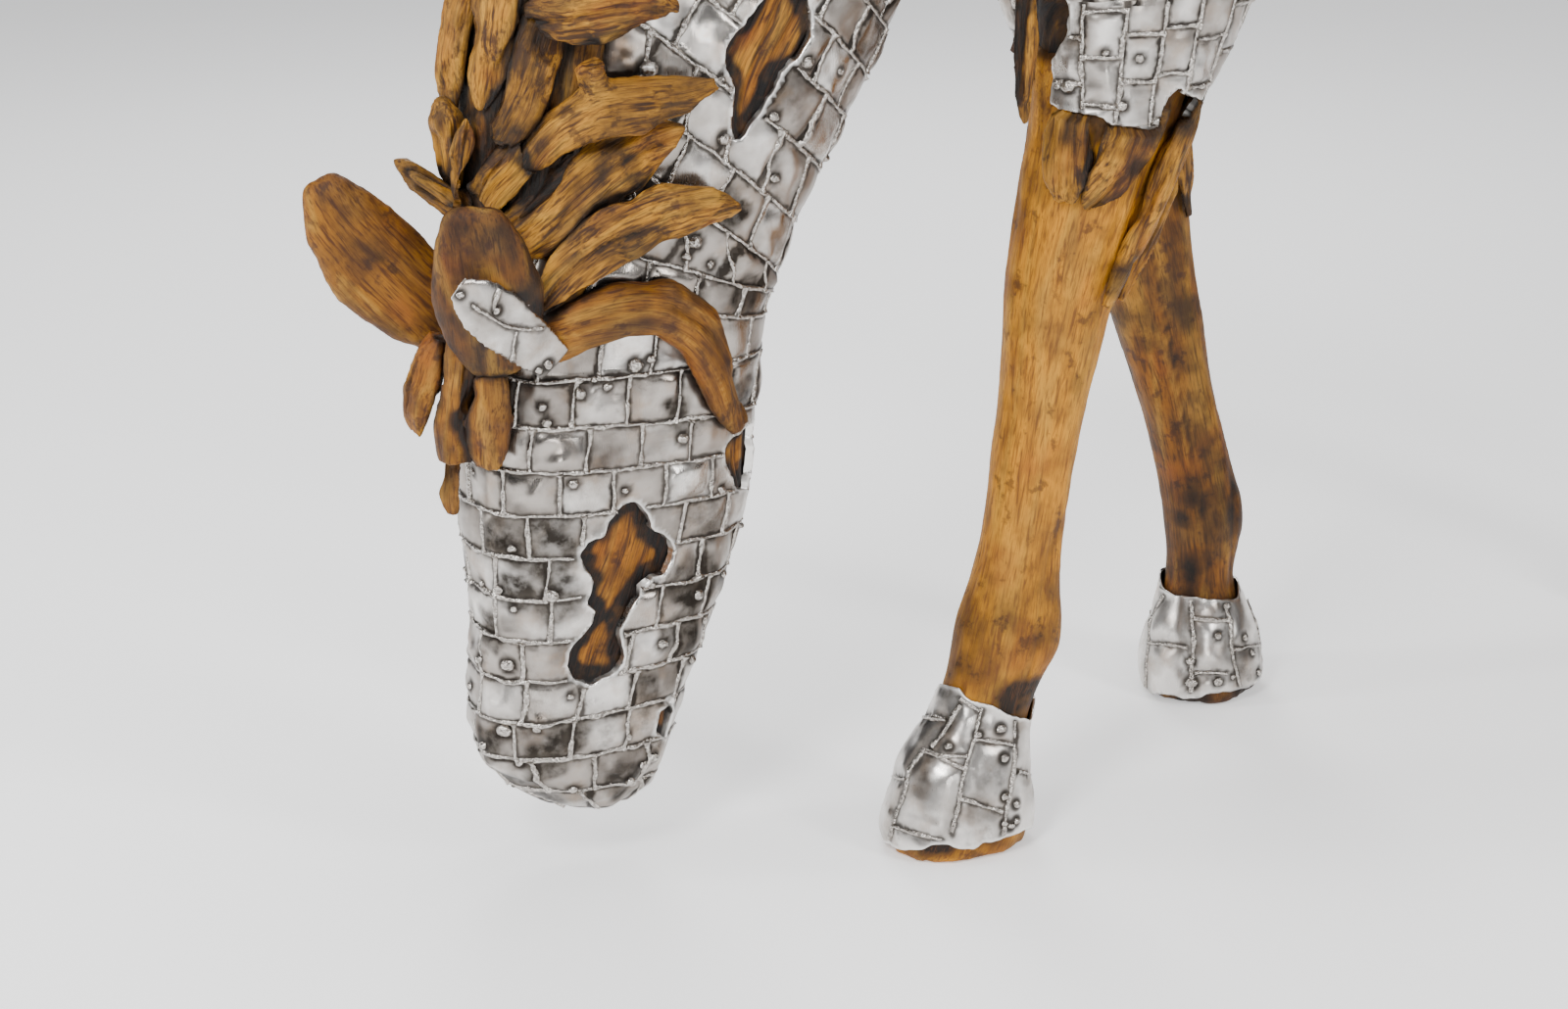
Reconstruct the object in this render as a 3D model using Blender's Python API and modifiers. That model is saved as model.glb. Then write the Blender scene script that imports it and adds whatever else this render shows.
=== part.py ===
"""Life-size grazing horse: teak legs, mane, ears and tail on a body clad in welded steel sheet.

Metres, +Z up. The horse faces -X and its left side faces -Y. Every solid form is a loft of
sections, drawn for withers at DRAWN_WITHERS over a ground at DRAWN_GROUND and scaled by STATURE.
"""
import math
from collections import namedtuple

import bmesh
import bpy
from mathutils import Vector

# Driving sizes, in metres
WITHERS_HEIGHT = 1.56
DRAWN_WITHERS = 1.58
DRAWN_GROUND = 0.020
STATURE = WITHERS_HEIGHT / (DRAWN_WITHERS - DRAWN_GROUND)
FIT_GAP = 0.0005
STEEL_SHEET = 0.003
SOLE_HEIGHT = 0.022
WINDOW_DEPTH = 0.016
WINDOW_REACH = 0.045
MM = 0.001
MERGE_DISTANCE = 0.00002
SHARP_ANGLE = math.radians(35)
LIMB_SQUARE = 0.9
HEAD_SQUARE = 0.72
POLL_HEIGHT = 0.75
TORN_RISE = 0.022
TORN_RIPPLE = 0.004
COLLAR_SLOPE = 0.12
COLLAR_ALONG = 0.65
PLAIN_WINDOW_CORNERS = 14
RIDGE_SHIFT = 0.35
YAW_START = 0.30
YAW_RUN = 0.12
FAR_FORE_YAW = 35
BOOT_COLLARS = {
    "near_foreleg": 0.165, "far_foreleg": 0.146, "left_hind_leg": 0.152, "right_hind_leg": 0.152,
}

# Steel-clad forms. Each row is x and z at the top, x and z underneath, half the width.
TORSO = (
    (-0.540, 1.330, -0.535, 1.190, 0.080),
    (-0.505, 1.450, -0.500, 1.085, 0.155),
    (-0.440, 1.530, -0.430, 1.000, 0.205),
    (-0.345, 1.578, -0.330, 0.970, 0.232),
    (-0.200, 1.572, -0.190, 0.962, 0.255),
    (0.000, 1.525, 0.000, 0.970, 0.277),
    (0.190, 1.508, 0.190, 0.995, 0.287),
    (0.370, 1.527, 0.370, 1.035, 0.282),
    (0.530, 1.565, 0.530, 1.080, 0.270),
    (0.670, 1.563, 0.670, 1.100, 0.252),
    (0.800, 1.515, 0.800, 1.110, 0.218),
    (0.890, 1.435, 0.885, 1.135, 0.165),
    (0.935, 1.335, 0.930, 1.190, 0.080),
)
# Crest or face side, throat or jaw side, half the width, and its share at each side.
NECK_AND_HEAD = (
    (-0.300, 1.530, -0.250, 1.080, 0.150, 0.60, 1.00),
    (-0.430, 1.555, -0.380, 1.070, 0.160, 0.50, 1.00),
    (-0.590, 1.500, -0.470, 1.055, 0.163, 0.50, 0.95),
    (-0.770, 1.390, -0.530, 1.035, 0.158, 0.55, 0.85),
    (-0.915, 1.240, -0.560, 0.990, 0.150, 0.60, 0.80),
    (-1.000, 1.075, -0.598, 0.930, 0.142, 0.65, 0.80),
    (-1.035, 0.930, -0.645, 0.840, 0.135, 0.70, 0.80),
    (-1.055, 0.795, -0.700, 0.745, 0.126, 0.75, 0.80),
    (-1.070, 0.685, -0.750, 0.650, 0.116, 0.85, 0.75),
    (-1.088, 0.585, -0.768, 0.560, 0.112, 0.95, 0.72),
    (-1.098, 0.485, -0.772, 0.470, 0.110, 1.00, 0.70),
    (-1.098, 0.395, -0.784, 0.387, 0.102, 1.00, 0.70),
    (-1.090, 0.310, -0.815, 0.304, 0.094, 1.00, 0.80),
    (-1.092, 0.235, -0.845, 0.238, 0.086, 1.00, 0.85),
    (-1.098, 0.180, -0.866, 0.182, 0.083, 0.95, 0.90),
    (-1.085, 0.138, -0.880, 0.134, 0.076, 0.90, 0.90),
    (-1.040, 0.103, -0.894, 0.096, 0.058, 0.90, 0.90),
    (-0.985, 0.079, -0.918, 0.073, 0.030, 1.00, 1.00),
)
# Limbs: height, front, rear, distance of the middle from the body's centre plane, half the width.
NEAR_SHOULDER = (
    (1.450, -0.400, -0.250, 0.125, 0.060),
    (1.330, -0.500, -0.205, 0.150, 0.090),
    (1.180, -0.545, -0.190, 0.158, 0.100),
    (1.060, -0.545, -0.215, 0.155, 0.098),
    (0.960, -0.522, -0.250, 0.150, 0.092),
    (0.880, -0.506, -0.288, 0.147, 0.086),
    (0.815, -0.496, -0.325, 0.145, 0.083),
)
NEAR_FORELEG = (
    (0.900, -0.515, -0.315, 0.147, 0.075),
    (0.815, -0.510, -0.340, 0.145, 0.071),
    (0.740, -0.522, -0.368, 0.145, 0.066),
    (0.640, -0.534, -0.408, 0.145, 0.056),
    (0.540, -0.540, -0.435, 0.145, 0.047),
    (0.440, -0.550, -0.455, 0.145, 0.042),
    (0.360, -0.561, -0.465, 0.145, 0.041),
    (0.310, -0.574, -0.467, 0.145, 0.044),
    (0.270, -0.588, -0.462, 0.145, 0.049),
    (0.238, -0.594, -0.464, 0.145, 0.050),
    (0.210, -0.600, -0.484, 0.145, 0.046),
    (0.175, -0.612, -0.500, 0.145, 0.045),
    (0.150, -0.628, -0.508, 0.145, 0.052),
    (0.118, -0.650, -0.506, 0.145, 0.061),
    (0.080, -0.662, -0.503, 0.145, 0.067),
    (0.042, -0.674, -0.500, 0.145, 0.072),
    (0.020, -0.670, -0.506, 0.145, 0.070),
)
FAR_SHOULDER = (
    (1.450, -0.370, -0.220, 0.125, 0.060),
    (1.330, -0.450, -0.150, 0.150, 0.090),
    (1.180, -0.475, -0.115, 0.158, 0.100),
    (1.060, -0.450, -0.120, 0.155, 0.098),
    (0.960, -0.415, -0.125, 0.150, 0.092),
    (0.880, -0.385, -0.135, 0.147, 0.086),
    (0.800, -0.360, -0.145, 0.145, 0.082),
)
FAR_FORELEG = (
    (0.885, -0.365, -0.160, 0.147, 0.075),
    (0.800, -0.343, -0.165, 0.145, 0.071),
    (0.720, -0.318, -0.152, 0.145, 0.066),
    (0.620, -0.280, -0.135, 0.145, 0.057),
    (0.510, -0.232, -0.114, 0.145, 0.050),
    (0.400, -0.190, -0.090, 0.145, 0.045),
    (0.320, -0.163, -0.062, 0.145, 0.045),
    (0.265, -0.150, -0.040, 0.145, 0.050),
    (0.230, -0.146, -0.040, 0.145, 0.049),
    (0.195, -0.140, -0.050, 0.145, 0.044),
    (0.160, -0.142, -0.052, 0.145, 0.044),
    (0.138, -0.150, -0.036, 0.145, 0.051),
    (0.108, -0.160, -0.022, 0.145, 0.063),
    (0.074, -0.166, -0.010, 0.145, 0.071),
    (0.042, -0.172, -0.004, 0.145, 0.075),
    (0.020, -0.168, -0.010, 0.145, 0.073),
)
THIGH = (
    (1.470, 0.500, 0.780, 0.110, 0.090),
    (1.360, 0.430, 0.880, 0.130, 0.120),
    (1.220, 0.405, 0.920, 0.138, 0.128),
    (1.090, 0.415, 0.915, 0.140, 0.122),
    (0.970, 0.445, 0.870, 0.140, 0.110),
    (0.880, 0.490, 0.830, 0.140, 0.097),
    (0.800, 0.535, 0.800, 0.140, 0.086),
)
HIND_LEG = (
    (0.885, 0.505, 0.805, 0.140, 0.078),
    (0.800, 0.550, 0.785, 0.140, 0.074),
    (0.720, 0.600, 0.780, 0.140, 0.068),
    (0.640, 0.652, 0.790, 0.140, 0.060),
    (0.575, 0.690, 0.815, 0.140, 0.056),
    (0.520, 0.708, 0.822, 0.140, 0.053),
    (0.440, 0.716, 0.805, 0.140, 0.045),
    (0.340, 0.708, 0.797, 0.140, 0.043),
    (0.270, 0.690, 0.800, 0.140, 0.049),
    (0.235, 0.682, 0.800, 0.140, 0.050),
    (0.200, 0.672, 0.775, 0.140, 0.046),
    (0.165, 0.655, 0.752, 0.140, 0.045),
    (0.138, 0.632, 0.742, 0.140, 0.051),
    (0.108, 0.614, 0.744, 0.140, 0.060),
    (0.074, 0.602, 0.748, 0.140, 0.067),
    (0.042, 0.592, 0.752, 0.140, 0.072),
    (0.020, 0.596, 0.746, 0.140, 0.070),
)
HIND_STEP = 0.06
HIP_HEIGHT = 1.30


# Windows torn in the steel: form, along, around, then the outline in millimetres down and across.
FACE_WINDOW = ("neck_and_head", 0.675, 87, (
    (-101, 8), (-86, 27), (-59, 38), (-50, 58), (-30, 66), (-10, 55), (4, 29), (30, 15), (64, 9),
    (88, 17), (104, 2), (106, -24), (95, -40), (80, -44), (49, -24), (26, -19), (0, -31), (-16, -28),
    (-42, -41), (-59, -37), (-68, -21), (-98, -8),
))
JAW_WINDOW = ("neck_and_head", 0.588, 134, (
    (-37, -10), (-37, 14), (-24, 38), (12, 46), (36, 30), (41, 10), (21, -12), (3, -29), (-12, -28),
    (-31, -17),
))
MUZZLE_WINDOW = ("neck_and_head", 0.811, 126, (
    (-24, -8), (-20, 6), (-8, 16), (10, 14), (28, 12), (20, -6), (8, -15), (-15, -16),
))
NECK_WINDOW = ("neck_and_head", 0.344, 99, (
    (-34, -34), (-4, -45), (13, -39), (18, -26), (41, -17), (58, -13), (80, 3), (56, 15), (30, 21),
    (2, 26), (-18, 41), (-41, 48), (-64, 36), (-92, 28), (-118, 4), (-98, -20), (-62, -27),
))
# Windows out of the main view are plainer: form, along, around, length, width and turn of the lobes.
PLAIN_WINDOWS = {
    "right_neck_window": ("neck_and_head", 0.40, 258, 0.150, 0.085, 0.4),
    "left_rib_window": ("torso", 0.52, 84, 0.190, 0.110, 1.9),
    "right_rib_window": ("torso", 0.44, 274, 0.210, 0.100, 2.8),
    "left_haunch_window": ("left_thigh", 0.42, 92, 0.160, 0.105, 0.9),
    "right_haunch_window": ("right_thigh", 0.36, 270, 0.170, 0.100, 2.2),
}

# Carved pieces lying on the neck and head. Each place is along, around and height above the steel in
# millimetres; then come the width, the thickness and the widths at root and tip as shares.
Lock = namedtuple("Lock", "places width thickness root tip")
MANE_LOCKS = {
    "mane_bed_crest": Lock(((0.300, -4, 10), (0.385, -2, 16), (0.462, 0, 10)), 0.150, 0.060, 0.70, 0.60),
    "mane_bed_left": Lock(((0.300, 34, 4), (0.380, 32, 8), (0.455, 30, 6)), 0.120, 0.030, 0.70, 0.60),
    "mane_lock_a": Lock(
        ((0.484, 45, 20), (0.442, 62, 32), (0.416, 84, 32), (0.415, 104, 26)), 0.072, 0.034, 0.30, 0.14,
    ),
    "mane_lock_b": Lock(
        ((0.404, 30, 32), (0.376, 50, 38), (0.368, 68, 32), (0.354, 85, 26)), 0.064, 0.032, 0.45, 0.28,
    ),
    "mane_lock_c": Lock(
        ((0.450, 26, 20), (0.420, 42, 16), (0.396, 60, 14), (0.378, 80, 14)), 0.104, 0.036, 0.60, 0.20,
    ),
    "mane_lock_d": Lock(((0.398, 36, 18), (0.409, 24, 32), (0.427, 17, 46)), 0.066, 0.044, 0.55, 0.70),
    "mane_lock_e": Lock(((0.318, 10, 34), (0.350, 14, 44), (0.384, 15, 50)), 0.062, 0.040, 0.85, 0.22),
    "mane_lock_f": Lock(((0.328, 32, 18), (0.364, 28, 32), (0.400, 21, 40)), 0.072, 0.040, 0.60, 0.45),
    "mane_lock_g": Lock(
        ((0.345, 24, 34), (0.334, 40, 40), (0.326, 54, 38), (0.325, 69, 32)), 0.084, 0.034, 0.60, 0.16,
    ),
    "mane_lock_h": Lock(((0.316, -8, 34), (0.352, -6, 42), (0.388, -2, 50)), 0.050, 0.056, 0.90, 0.30),
    "mane_lock_i": Lock(((0.420, 2, 32), (0.400, 1, 52), (0.382, 1, 66)), 0.060, 0.044, 0.85, 0.35),
    "mane_lock_j": Lock(((0.440, 4, 20), (0.426, -1, 54), (0.414, -2, 106)), 0.076, 0.044, 0.90, 0.12),
    "mane_lock_k": Lock(((0.432, 9, 48), (0.408, 11, 60), (0.387, 13, 60)), 0.036, 0.028, 0.60, 0.20),
    "mane_stub": Lock(((0.485, 48, 6), (0.462, 64, 6), (0.450, 76, 6)), 0.034, 0.020, 0.70, 0.50),
}
BROW_PIECE = Lock(
    ((0.500, 52, 10), (0.484, 70, 16), (0.474, 88, 18), (0.496, 101, 14), (0.532, 111, 10), (0.563, 127, 6)),
    0.056, 0.030, 0.80, 0.42,
)
FORELOCK_PIECES = {
    "forelock_left_strands": Lock(((0.508, 6, 46), (0.538, 3, 54), (0.567, 2, 54)), 0.062, 0.040, 0.60, 0.45),
    "forelock_middle_strand": Lock(
        ((0.492, 14, 36), (0.535, 12, 32), (0.580, 12, 26)), 0.066, 0.044, 0.50, 0.80,
    ),
    "forelock_wedge": Lock(((0.514, 27, 20), (0.552, 28, 22), (0.580, 27, 12)), 0.066, 0.044, 0.50, 0.50),
    "forelock_low_strand": Lock(((0.566, 5, 22), (0.598, 4, 22), (0.621, 4, 18)), 0.030, 0.028, 0.90, 0.45),
}
WEDGE_POINT = Lock(((0.552, 26, 24), (0.545, 34, 18), (0.537, 46, 8)), 0.040, 0.022, 0.95, 0.12)
MANE_BRANCH = Lock(((0.372, 52, 38), (0.358, 48, 44), (0.346, 47, 48)), 0.036, 0.022, 0.95, 0.14)

# The mane above and behind the main view: how many pieces, the first one's place and the step to the next.
UPPER_LEFT_LOCKS, UPPER_LEFT_START, UPPER_LEFT_STEP = 3, 0.282, -0.078
RIGHT_LOCKS, RIGHT_START, RIGHT_STEP = 4, 0.420, -0.085
CREST_STRIPS, CREST_START, CREST_STEP = 3, 0.315, -0.092
MANE_ROOT_SETBACK = 0.026
MANE_TIP_REACH = 0.015

# Ears: base, middle and tip, then width, thickness, root and tip shares. Their hollows face EAR_FACING.
EAR_FACING = (-0.40, -0.86, 0.31)
NEAR_EAR = Lock(
    ((-1.084, -0.078, 0.600), (-1.110, -0.112, 0.694), (-1.124, -0.126, 0.782)), 0.116, 0.030, 0.42, 0.52,
)
FAR_EAR = Lock(
    ((-1.080, 0.045, 0.610), (-1.166, 0.075, 0.688), (-1.212, 0.100, 0.774)), 0.112, 0.030, 0.52, 0.40,
)
EAR_LEAF = Lock(
    ((-1.152, -0.152, 0.712), (-1.100, -0.142, 0.672), (-1.036, -0.114, 0.612)), 0.068, 0.010, 0.42, 0.72,
)

# Slabs and splints of wood on the forearms: the limb that each lies on, then the same values.
FOREARM_PIECES = {
    "near_forearm_front_tongue": (
        "near_foreleg", Lock(((0.040, 40, 3), (0.080, 42, 6), (0.122, 48, 3)), 0.058, 0.030, 0.95, 0.35),
    ),
    "near_forearm_rear_tongue": (
        "near_foreleg", Lock(((0.040, 88, 3), (0.080, 84, 7), (0.127, 66, 3)), 0.078, 0.030, 0.95, 0.22),
    ),
    "near_forearm_long_splint": (
        "near_foreleg", Lock(((0.030, 146, 6), (0.110, 122, 10), (0.195, 110, 5)), 0.040, 0.032, 0.60, 0.30),
    ),
    "near_forearm_rear_splint": (
        "near_foreleg", Lock(((0.050, 170, 3), (0.120, 156, 8), (0.195, 142, 4)), 0.034, 0.030, 0.80, 0.30),
    ),
    "far_forearm_slab": (
        "far_foreleg", Lock(((0.060, 118, 3), (0.120, 122, 6), (0.190, 128, 3)), 0.054, 0.030, 0.90, 0.30),
    ),
}
SPLINT_FRONT = Lock(
    ((-0.540, -0.190, 0.985), (-0.548, -0.195, 0.900), (-0.546, -0.190, 0.828)), 0.030, 0.024, 0.80, 0.30,
)

# The tail: x and z of three places and the shares of a piece's rearward, sideways and upward shift that
# each takes. Then, for each piece, how far it stands to the side and to the rear, and its tip's height.
TAIL_STATIONS = ((0.865, 1.440, 0.3, 0.6, 0.3), (0.962, 1.330, 1.0, 1.0, 0.6), (0.985, 0.980, 1.0, 1.6, 0.0))
TAIL_TIP_X, TAIL_TIP_SPREAD = 0.930, 1.9
TAIL_PIECES = ((-0.040, 0.00, 0.52), (0.042, 0.01, 0.44), (-0.004, 0.045, 0.36), (0.002, 0.085, 0.66))
TAIL_WIDTH, TAIL_THICKNESS, TAIL_ROOT, TAIL_TIP = 0.100, 0.064, 0.55, 0.20

LOCK_SIDES = 7
LOCK_BELLY = 0.92
LOCK_LEAST_DEPTH = 0.25

Section = namedtuple("Section", "a b y half_width a_share b_share square yaw")


def drawn(x, y, z):
    """A point of the drawing, whose ground is at DRAWN_GROUND, at the sculpture's own size."""
    return Vector((x, y, z - DRAWN_GROUND)) * STATURE


def section(ax, az, bx, bz, half_width, a_share=1.0, b_share=1.0, y=0.0, square=1.0, yaw=0.0):
    """One cross-section, from its front or top edge a to its rear or under edge b."""
    return Section(
        drawn(ax, 0.0, az).xz, drawn(bx, 0.0, bz).xz, y * STATURE, half_width * STATURE,
        a_share, b_share, square, yaw,
    )


def between(before, start, end, after, share):
    """The value at a share of the way from start to end, on a smooth curve through all four."""
    square, cube = share * share, share * share * share
    return 0.5 * (
        2 * start
        + (end - before) * share
        + (2 * before - 5 * start + 4 * end - after) * square
        + (3 * start - before - 3 * end + after) * cube
    )


def on_curve(points, along):
    """A point on the smooth curve through a list of values, from 0 at the first to 1 at the last."""
    place = min(max(along, 0.0), 1.0) * (len(points) - 1)
    index = min(int(place), len(points) - 2)
    four = [points[min(max(index + step, 0), len(points) - 1)] for step in (-1, 0, 1, 2)]
    return between(*four, place - index)


def section_at(form, along):
    """The cross-section at along, from 0 at the form's first section to 1 at its last."""
    place = min(max(along, 0.0), 1.0) * (len(form) - 1)
    index = min(int(place), len(form) - 2)
    four = [form[min(max(index + step, 0), len(form) - 1)] for step in (-1, 0, 1, 2)]
    return Section(*(between(*fields, place - index) for fields in zip(*four)))


def form_point(form, along, around, lift=0.0):
    """A point on a form: around is 0 at edge a, 90 on the left side, 180 at edge b; lift is outwards."""
    if lift:
        return form_point(form, along, around) + form_normal(form, along, around) * lift
    cut = section_at(form, along)
    turn = math.radians(around)
    cosine, sine = math.cos(turn), math.sin(turn)
    toward_a = math.copysign(abs(cosine) ** cut.square, cosine)
    toward_left = math.copysign(abs(sine) ** cut.square, sine)
    share = cut.b_share + (cut.a_share - cut.b_share) * (1 + toward_a) / 2
    reach = (cut.a - cut.b) / 2 * toward_a
    sideways = -cut.half_width * share * toward_left
    yaw = math.radians(cut.yaw)
    middle = (cut.a + cut.b) / 2
    return Vector((
        middle.x + reach.x * math.cos(yaw) - sideways * math.sin(yaw),
        cut.y + reach.x * math.sin(yaw) + sideways * math.cos(yaw),
        middle.y + reach.y,
    ))


def form_normal(form, along, around):
    """The outward direction at a point of a form."""
    step = 0.01
    low, high = max(along - step, 0.0), min(along + step, 1.0)
    lengthwise = form_point(form, high, around) - form_point(form, low, around)
    crosswise = form_point(form, along, around + 3) - form_point(form, along, around - 3)
    normal = lengthwise.cross(crosswise).normalized()
    cut = section_at(form, along)
    middle = (cut.a + cut.b) / 2
    outward = form_point(form, along, around) - Vector((middle.x, cut.y, middle.y))
    return normal if normal.dot(outward) > 0 else -normal


def grown(form, by):
    """The same form with every section larger by a distance all round."""
    bigger = []
    for cut in form:
        outward = (cut.a - cut.b).normalized() * by
        bigger.append(cut._replace(a=cut.a + outward, b=cut.b - outward, half_width=cut.half_width + by))
    return bigger


def limb(rows, side, step=0.0, yaw=0.0):
    """Sections of a limb. side is -1 on the left and 1 on the right. Its foot is moved forwards by
    step, and turned outwards by yaw below the knee."""
    made = []
    for z, front, rear, offset, half_width in rows:
        ahead = step * max(0.0, 1.0 - z / HIP_HEIGHT)
        turned = yaw * min(max((YAW_START - z) / YAW_RUN, 0.0), 1.0)
        made.append(section(
            front - ahead, z, rear - ahead, z, half_width, y=side * offset, square=LIMB_SQUARE, yaw=turned,
        ))
    return made


def all_forms():
    """Every form by name, with how many rings and how many corners a ring its solid has."""
    torso = [section(*row) for row in TORSO]
    neck = [section(*row, square=HEAD_SQUARE if row[1] < POLL_HEIGHT else 1.0) for row in NECK_AND_HEAD]
    return {
        "torso": (torso, 13, 14),
        "neck_and_head": (neck, 21, 16),
        "near_shoulder": (limb(NEAR_SHOULDER, -1), 7, 10),
        "far_shoulder": (limb(FAR_SHOULDER, 1), 7, 10),
        "left_thigh": (limb(THIGH, -1), 7, 10),
        "right_thigh": (limb(THIGH, 1, HIND_STEP), 7, 10),
        "near_foreleg": (limb(NEAR_FORELEG, -1), len(NEAR_FORELEG), 10),
        "far_foreleg": (limb(FAR_FORELEG, 1, yaw=FAR_FORE_YAW), len(FAR_FORELEG), 10),
        "left_hind_leg": (limb(HIND_LEG, -1), len(HIND_LEG), 10),
        "right_hind_leg": (limb(HIND_LEG, 1, HIND_STEP), len(HIND_LEG), 10),
    }


def skinned(rings):
    """A closed bmesh of flat triangles between rings of points, each joined to the next."""
    shape = bmesh.new()
    rows = [[shape.verts.new(point) for point in ring] for ring in rings]
    for row, following in zip(rows, rows[1:]):
        for index, corner in enumerate(row):
            after = (index + 1) % len(row)
            shape.faces.new((corner, row[after], following[after], following[index]))
    shape.faces.new(list(reversed(rows[0])))
    shape.faces.new(rows[-1])
    bmesh.ops.recalc_face_normals(shape, faces=shape.faces)
    bmesh.ops.triangulate(shape, faces=shape.faces, quad_method="FIXED")
    return shape


def new_object(name, shape, collection, material=None):
    """An object in a collection from a bmesh, which is freed."""
    mesh = bpy.data.meshes.new(name)
    shape.to_mesh(mesh)
    shape.free()
    made = bpy.data.objects.new(name, mesh)
    collection.objects.link(made)
    if material:
        mesh.materials.append(material)
    return made


def form_rings(form, count, sides, start=0.0, end=1.0):
    """Rings of points along a form."""
    steps = [start + (end - start) * index / (count - 1) for index in range(count)]
    turns = [360 * index / sides for index in range(sides)]
    return [[form_point(form, along, around) for around in turns] for along in steps]


def torn(ring, rise, ripple):
    """A rim raised at its front and rear, and a little uneven, as torn sheet is."""
    count = len(ring)
    raised = []
    for index, point in enumerate(ring):
        turn = math.tau * index / count
        lift = rise * (1 - abs(math.sin(turn))) + ripple * math.sin(3 * turn + 0.7)
        raised.append(point + Vector((0.0, 0.0, lift)))
    return raised


def as_guide(piece):
    """Marks a cutter or a guide, which isn't part of the sculpture."""
    piece.hide_render = True
    piece.display_type = "WIRE"
    return piece


def settle(piece):
    """Applies an object's modifiers to its mesh."""
    graph = bpy.context.evaluated_depsgraph_get()
    graph.update()
    mesh = bpy.data.meshes.new_from_object(piece.evaluated_get(graph))
    piece.modifiers.clear()
    piece.data = mesh
    return piece


def add_boolean(piece, tool, operation="DIFFERENCE"):
    """Adds a Boolean of another object to a piece."""
    boolean = piece.modifiers.new(operation.title(), "BOOLEAN")
    boolean.operation = operation
    boolean.object = tool
    return boolean


def grown_copy(piece, by, collection):
    """A guide like a piece, larger by a distance along its normals."""
    guide = bpy.data.objects.new(piece.name + "_fit", piece.data.copy())
    collection.objects.link(guide)
    larger = guide.modifiers.new("Clearance", "DISPLACE")
    larger.strength = by
    larger.mid_level = 0.0
    return as_guide(settle(guide))


def extent(piece):
    """The lowest and highest corner of the box around a piece."""
    points = [corner.co for corner in piece.data.vertices]
    low = Vector([min(point[axis] for point in points) for axis in range(3)])
    high = Vector([max(point[axis] for point in points) for axis in range(3)])
    return low, high


def boxes_meet(first, second):
    """Whether the boxes around two pieces come within a clearance of each other."""
    (low, high), (other_low, other_high) = extent(first), extent(second)
    spare = 4 * FIT_GAP
    return all(
        low[axis] - spare < other_high[axis] and other_low[axis] - spare < high[axis] for axis in range(3)
    )


def keep_largest(piece):
    """Drops the offcuts that a Boolean leaves, and merges corners that nearly coincide."""
    shape = bmesh.new()
    shape.from_mesh(piece.data)
    bmesh.ops.remove_doubles(shape, verts=shape.verts, dist=MERGE_DISTANCE)
    unseen = set(shape.verts)
    islands = []
    while unseen:
        island, rim = set(), [unseen.pop()]
        while rim:
            corner = rim.pop()
            island.add(corner)
            for neighbour in [edge.other_vert(corner) for edge in corner.link_edges]:
                if neighbour in unseen:
                    unseen.remove(neighbour)
                    rim.append(neighbour)
        islands.append(island)
    islands.sort(key=lambda island: sum(face.calc_area() for corner in island for face in corner.link_faces))
    offcuts = [corner for island in islands[:-1] for corner in island]
    bmesh.ops.delete(shape, geom=offcuts, context="VERTS")
    shape.to_mesh(piece.data)
    shape.free()


def finish(name, colour, roughness, metallic=0.0):
    """A Principled material."""
    material = bpy.data.materials.new(name)
    material.use_nodes = True
    shader = material.node_tree.nodes["Principled BSDF"]
    shader.inputs["Base Color"].default_value = (*colour, 1.0)
    shader.inputs["Roughness"].default_value = roughness
    shader.inputs["Metallic"].default_value = metallic
    return material


class Sculpture:
    """The collections, the materials and the solids made so far."""

    def __init__(self):
        self.parts = bpy.data.collections.new("grazing_horse")
        self.guides = bpy.data.collections.new("cutters_and_guides")
        for collection in (self.parts, self.guides):
            bpy.context.scene.collection.children.link(collection)
        self.guides.hide_render = True
        self.steel = finish("welded steel sheet", (0.60, 0.59, 0.60), 0.38, 1.0)
        self.teak = finish("carved teak", (0.46, 0.24, 0.09), 0.62)
        self.forms = all_forms()
        self.clearances = {}

    def guide(self, name, shape):
        return as_guide(new_object(name, shape, self.guides))

    def loft(self, key, by=0.0):
        """The solid of a form, or of the form grown or shrunk."""
        form, count, sides = self.forms[key]
        return skinned(form_rings(grown(form, by) if by else form, count, sides))

    def clearance(self, piece):
        """A copy of a piece that is larger by the fit gap."""
        if piece.name not in self.clearances:
            self.clearances[piece.name] = grown_copy(piece, FIT_GAP, self.guides)
        return self.clearances[piece.name]

    def fit(self, piece, neighbours):
        """Trims a piece so that it lies against its neighbours, after keeping its own clearance."""
        self.clearance(piece)
        for neighbour in neighbours:
            if neighbour is not piece and boxes_meet(piece, neighbour):
                add_boolean(piece, self.clearance(neighbour))
                settle(piece)
        keep_largest(piece)
        return piece


def outline_on_form(form, along, around, outline):
    """Places outline points, in metres down and across, in the plane that touches a form."""
    origin = form_point(form, along, around)
    normal = form_normal(form, along, around)
    down = form_point(form, along + 0.01, around) - form_point(form, along - 0.01, around)
    down = (down - normal * down.dot(normal)).normalized()
    across = normal.cross(down)
    return [origin + down * point[0] + across * point[1] for point in outline], normal


def inset(outline, by):
    """A closed outline drawn in by a distance, whichever way round it runs."""
    corners = [Vector(point) for point in outline]
    following = corners[1:] + corners[:1]
    preceding = corners[-1:] + corners[:-1]
    area = sum(corner.cross(after) for corner, after in zip(corners, following))
    inwards = math.copysign(by, area)
    moved = []
    for corner, before, after in zip(corners, preceding, following):
        along = (after - before).normalized()
        moved.append(corner + Vector((-along.y, along.x)) * inwards)
    return moved


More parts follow.
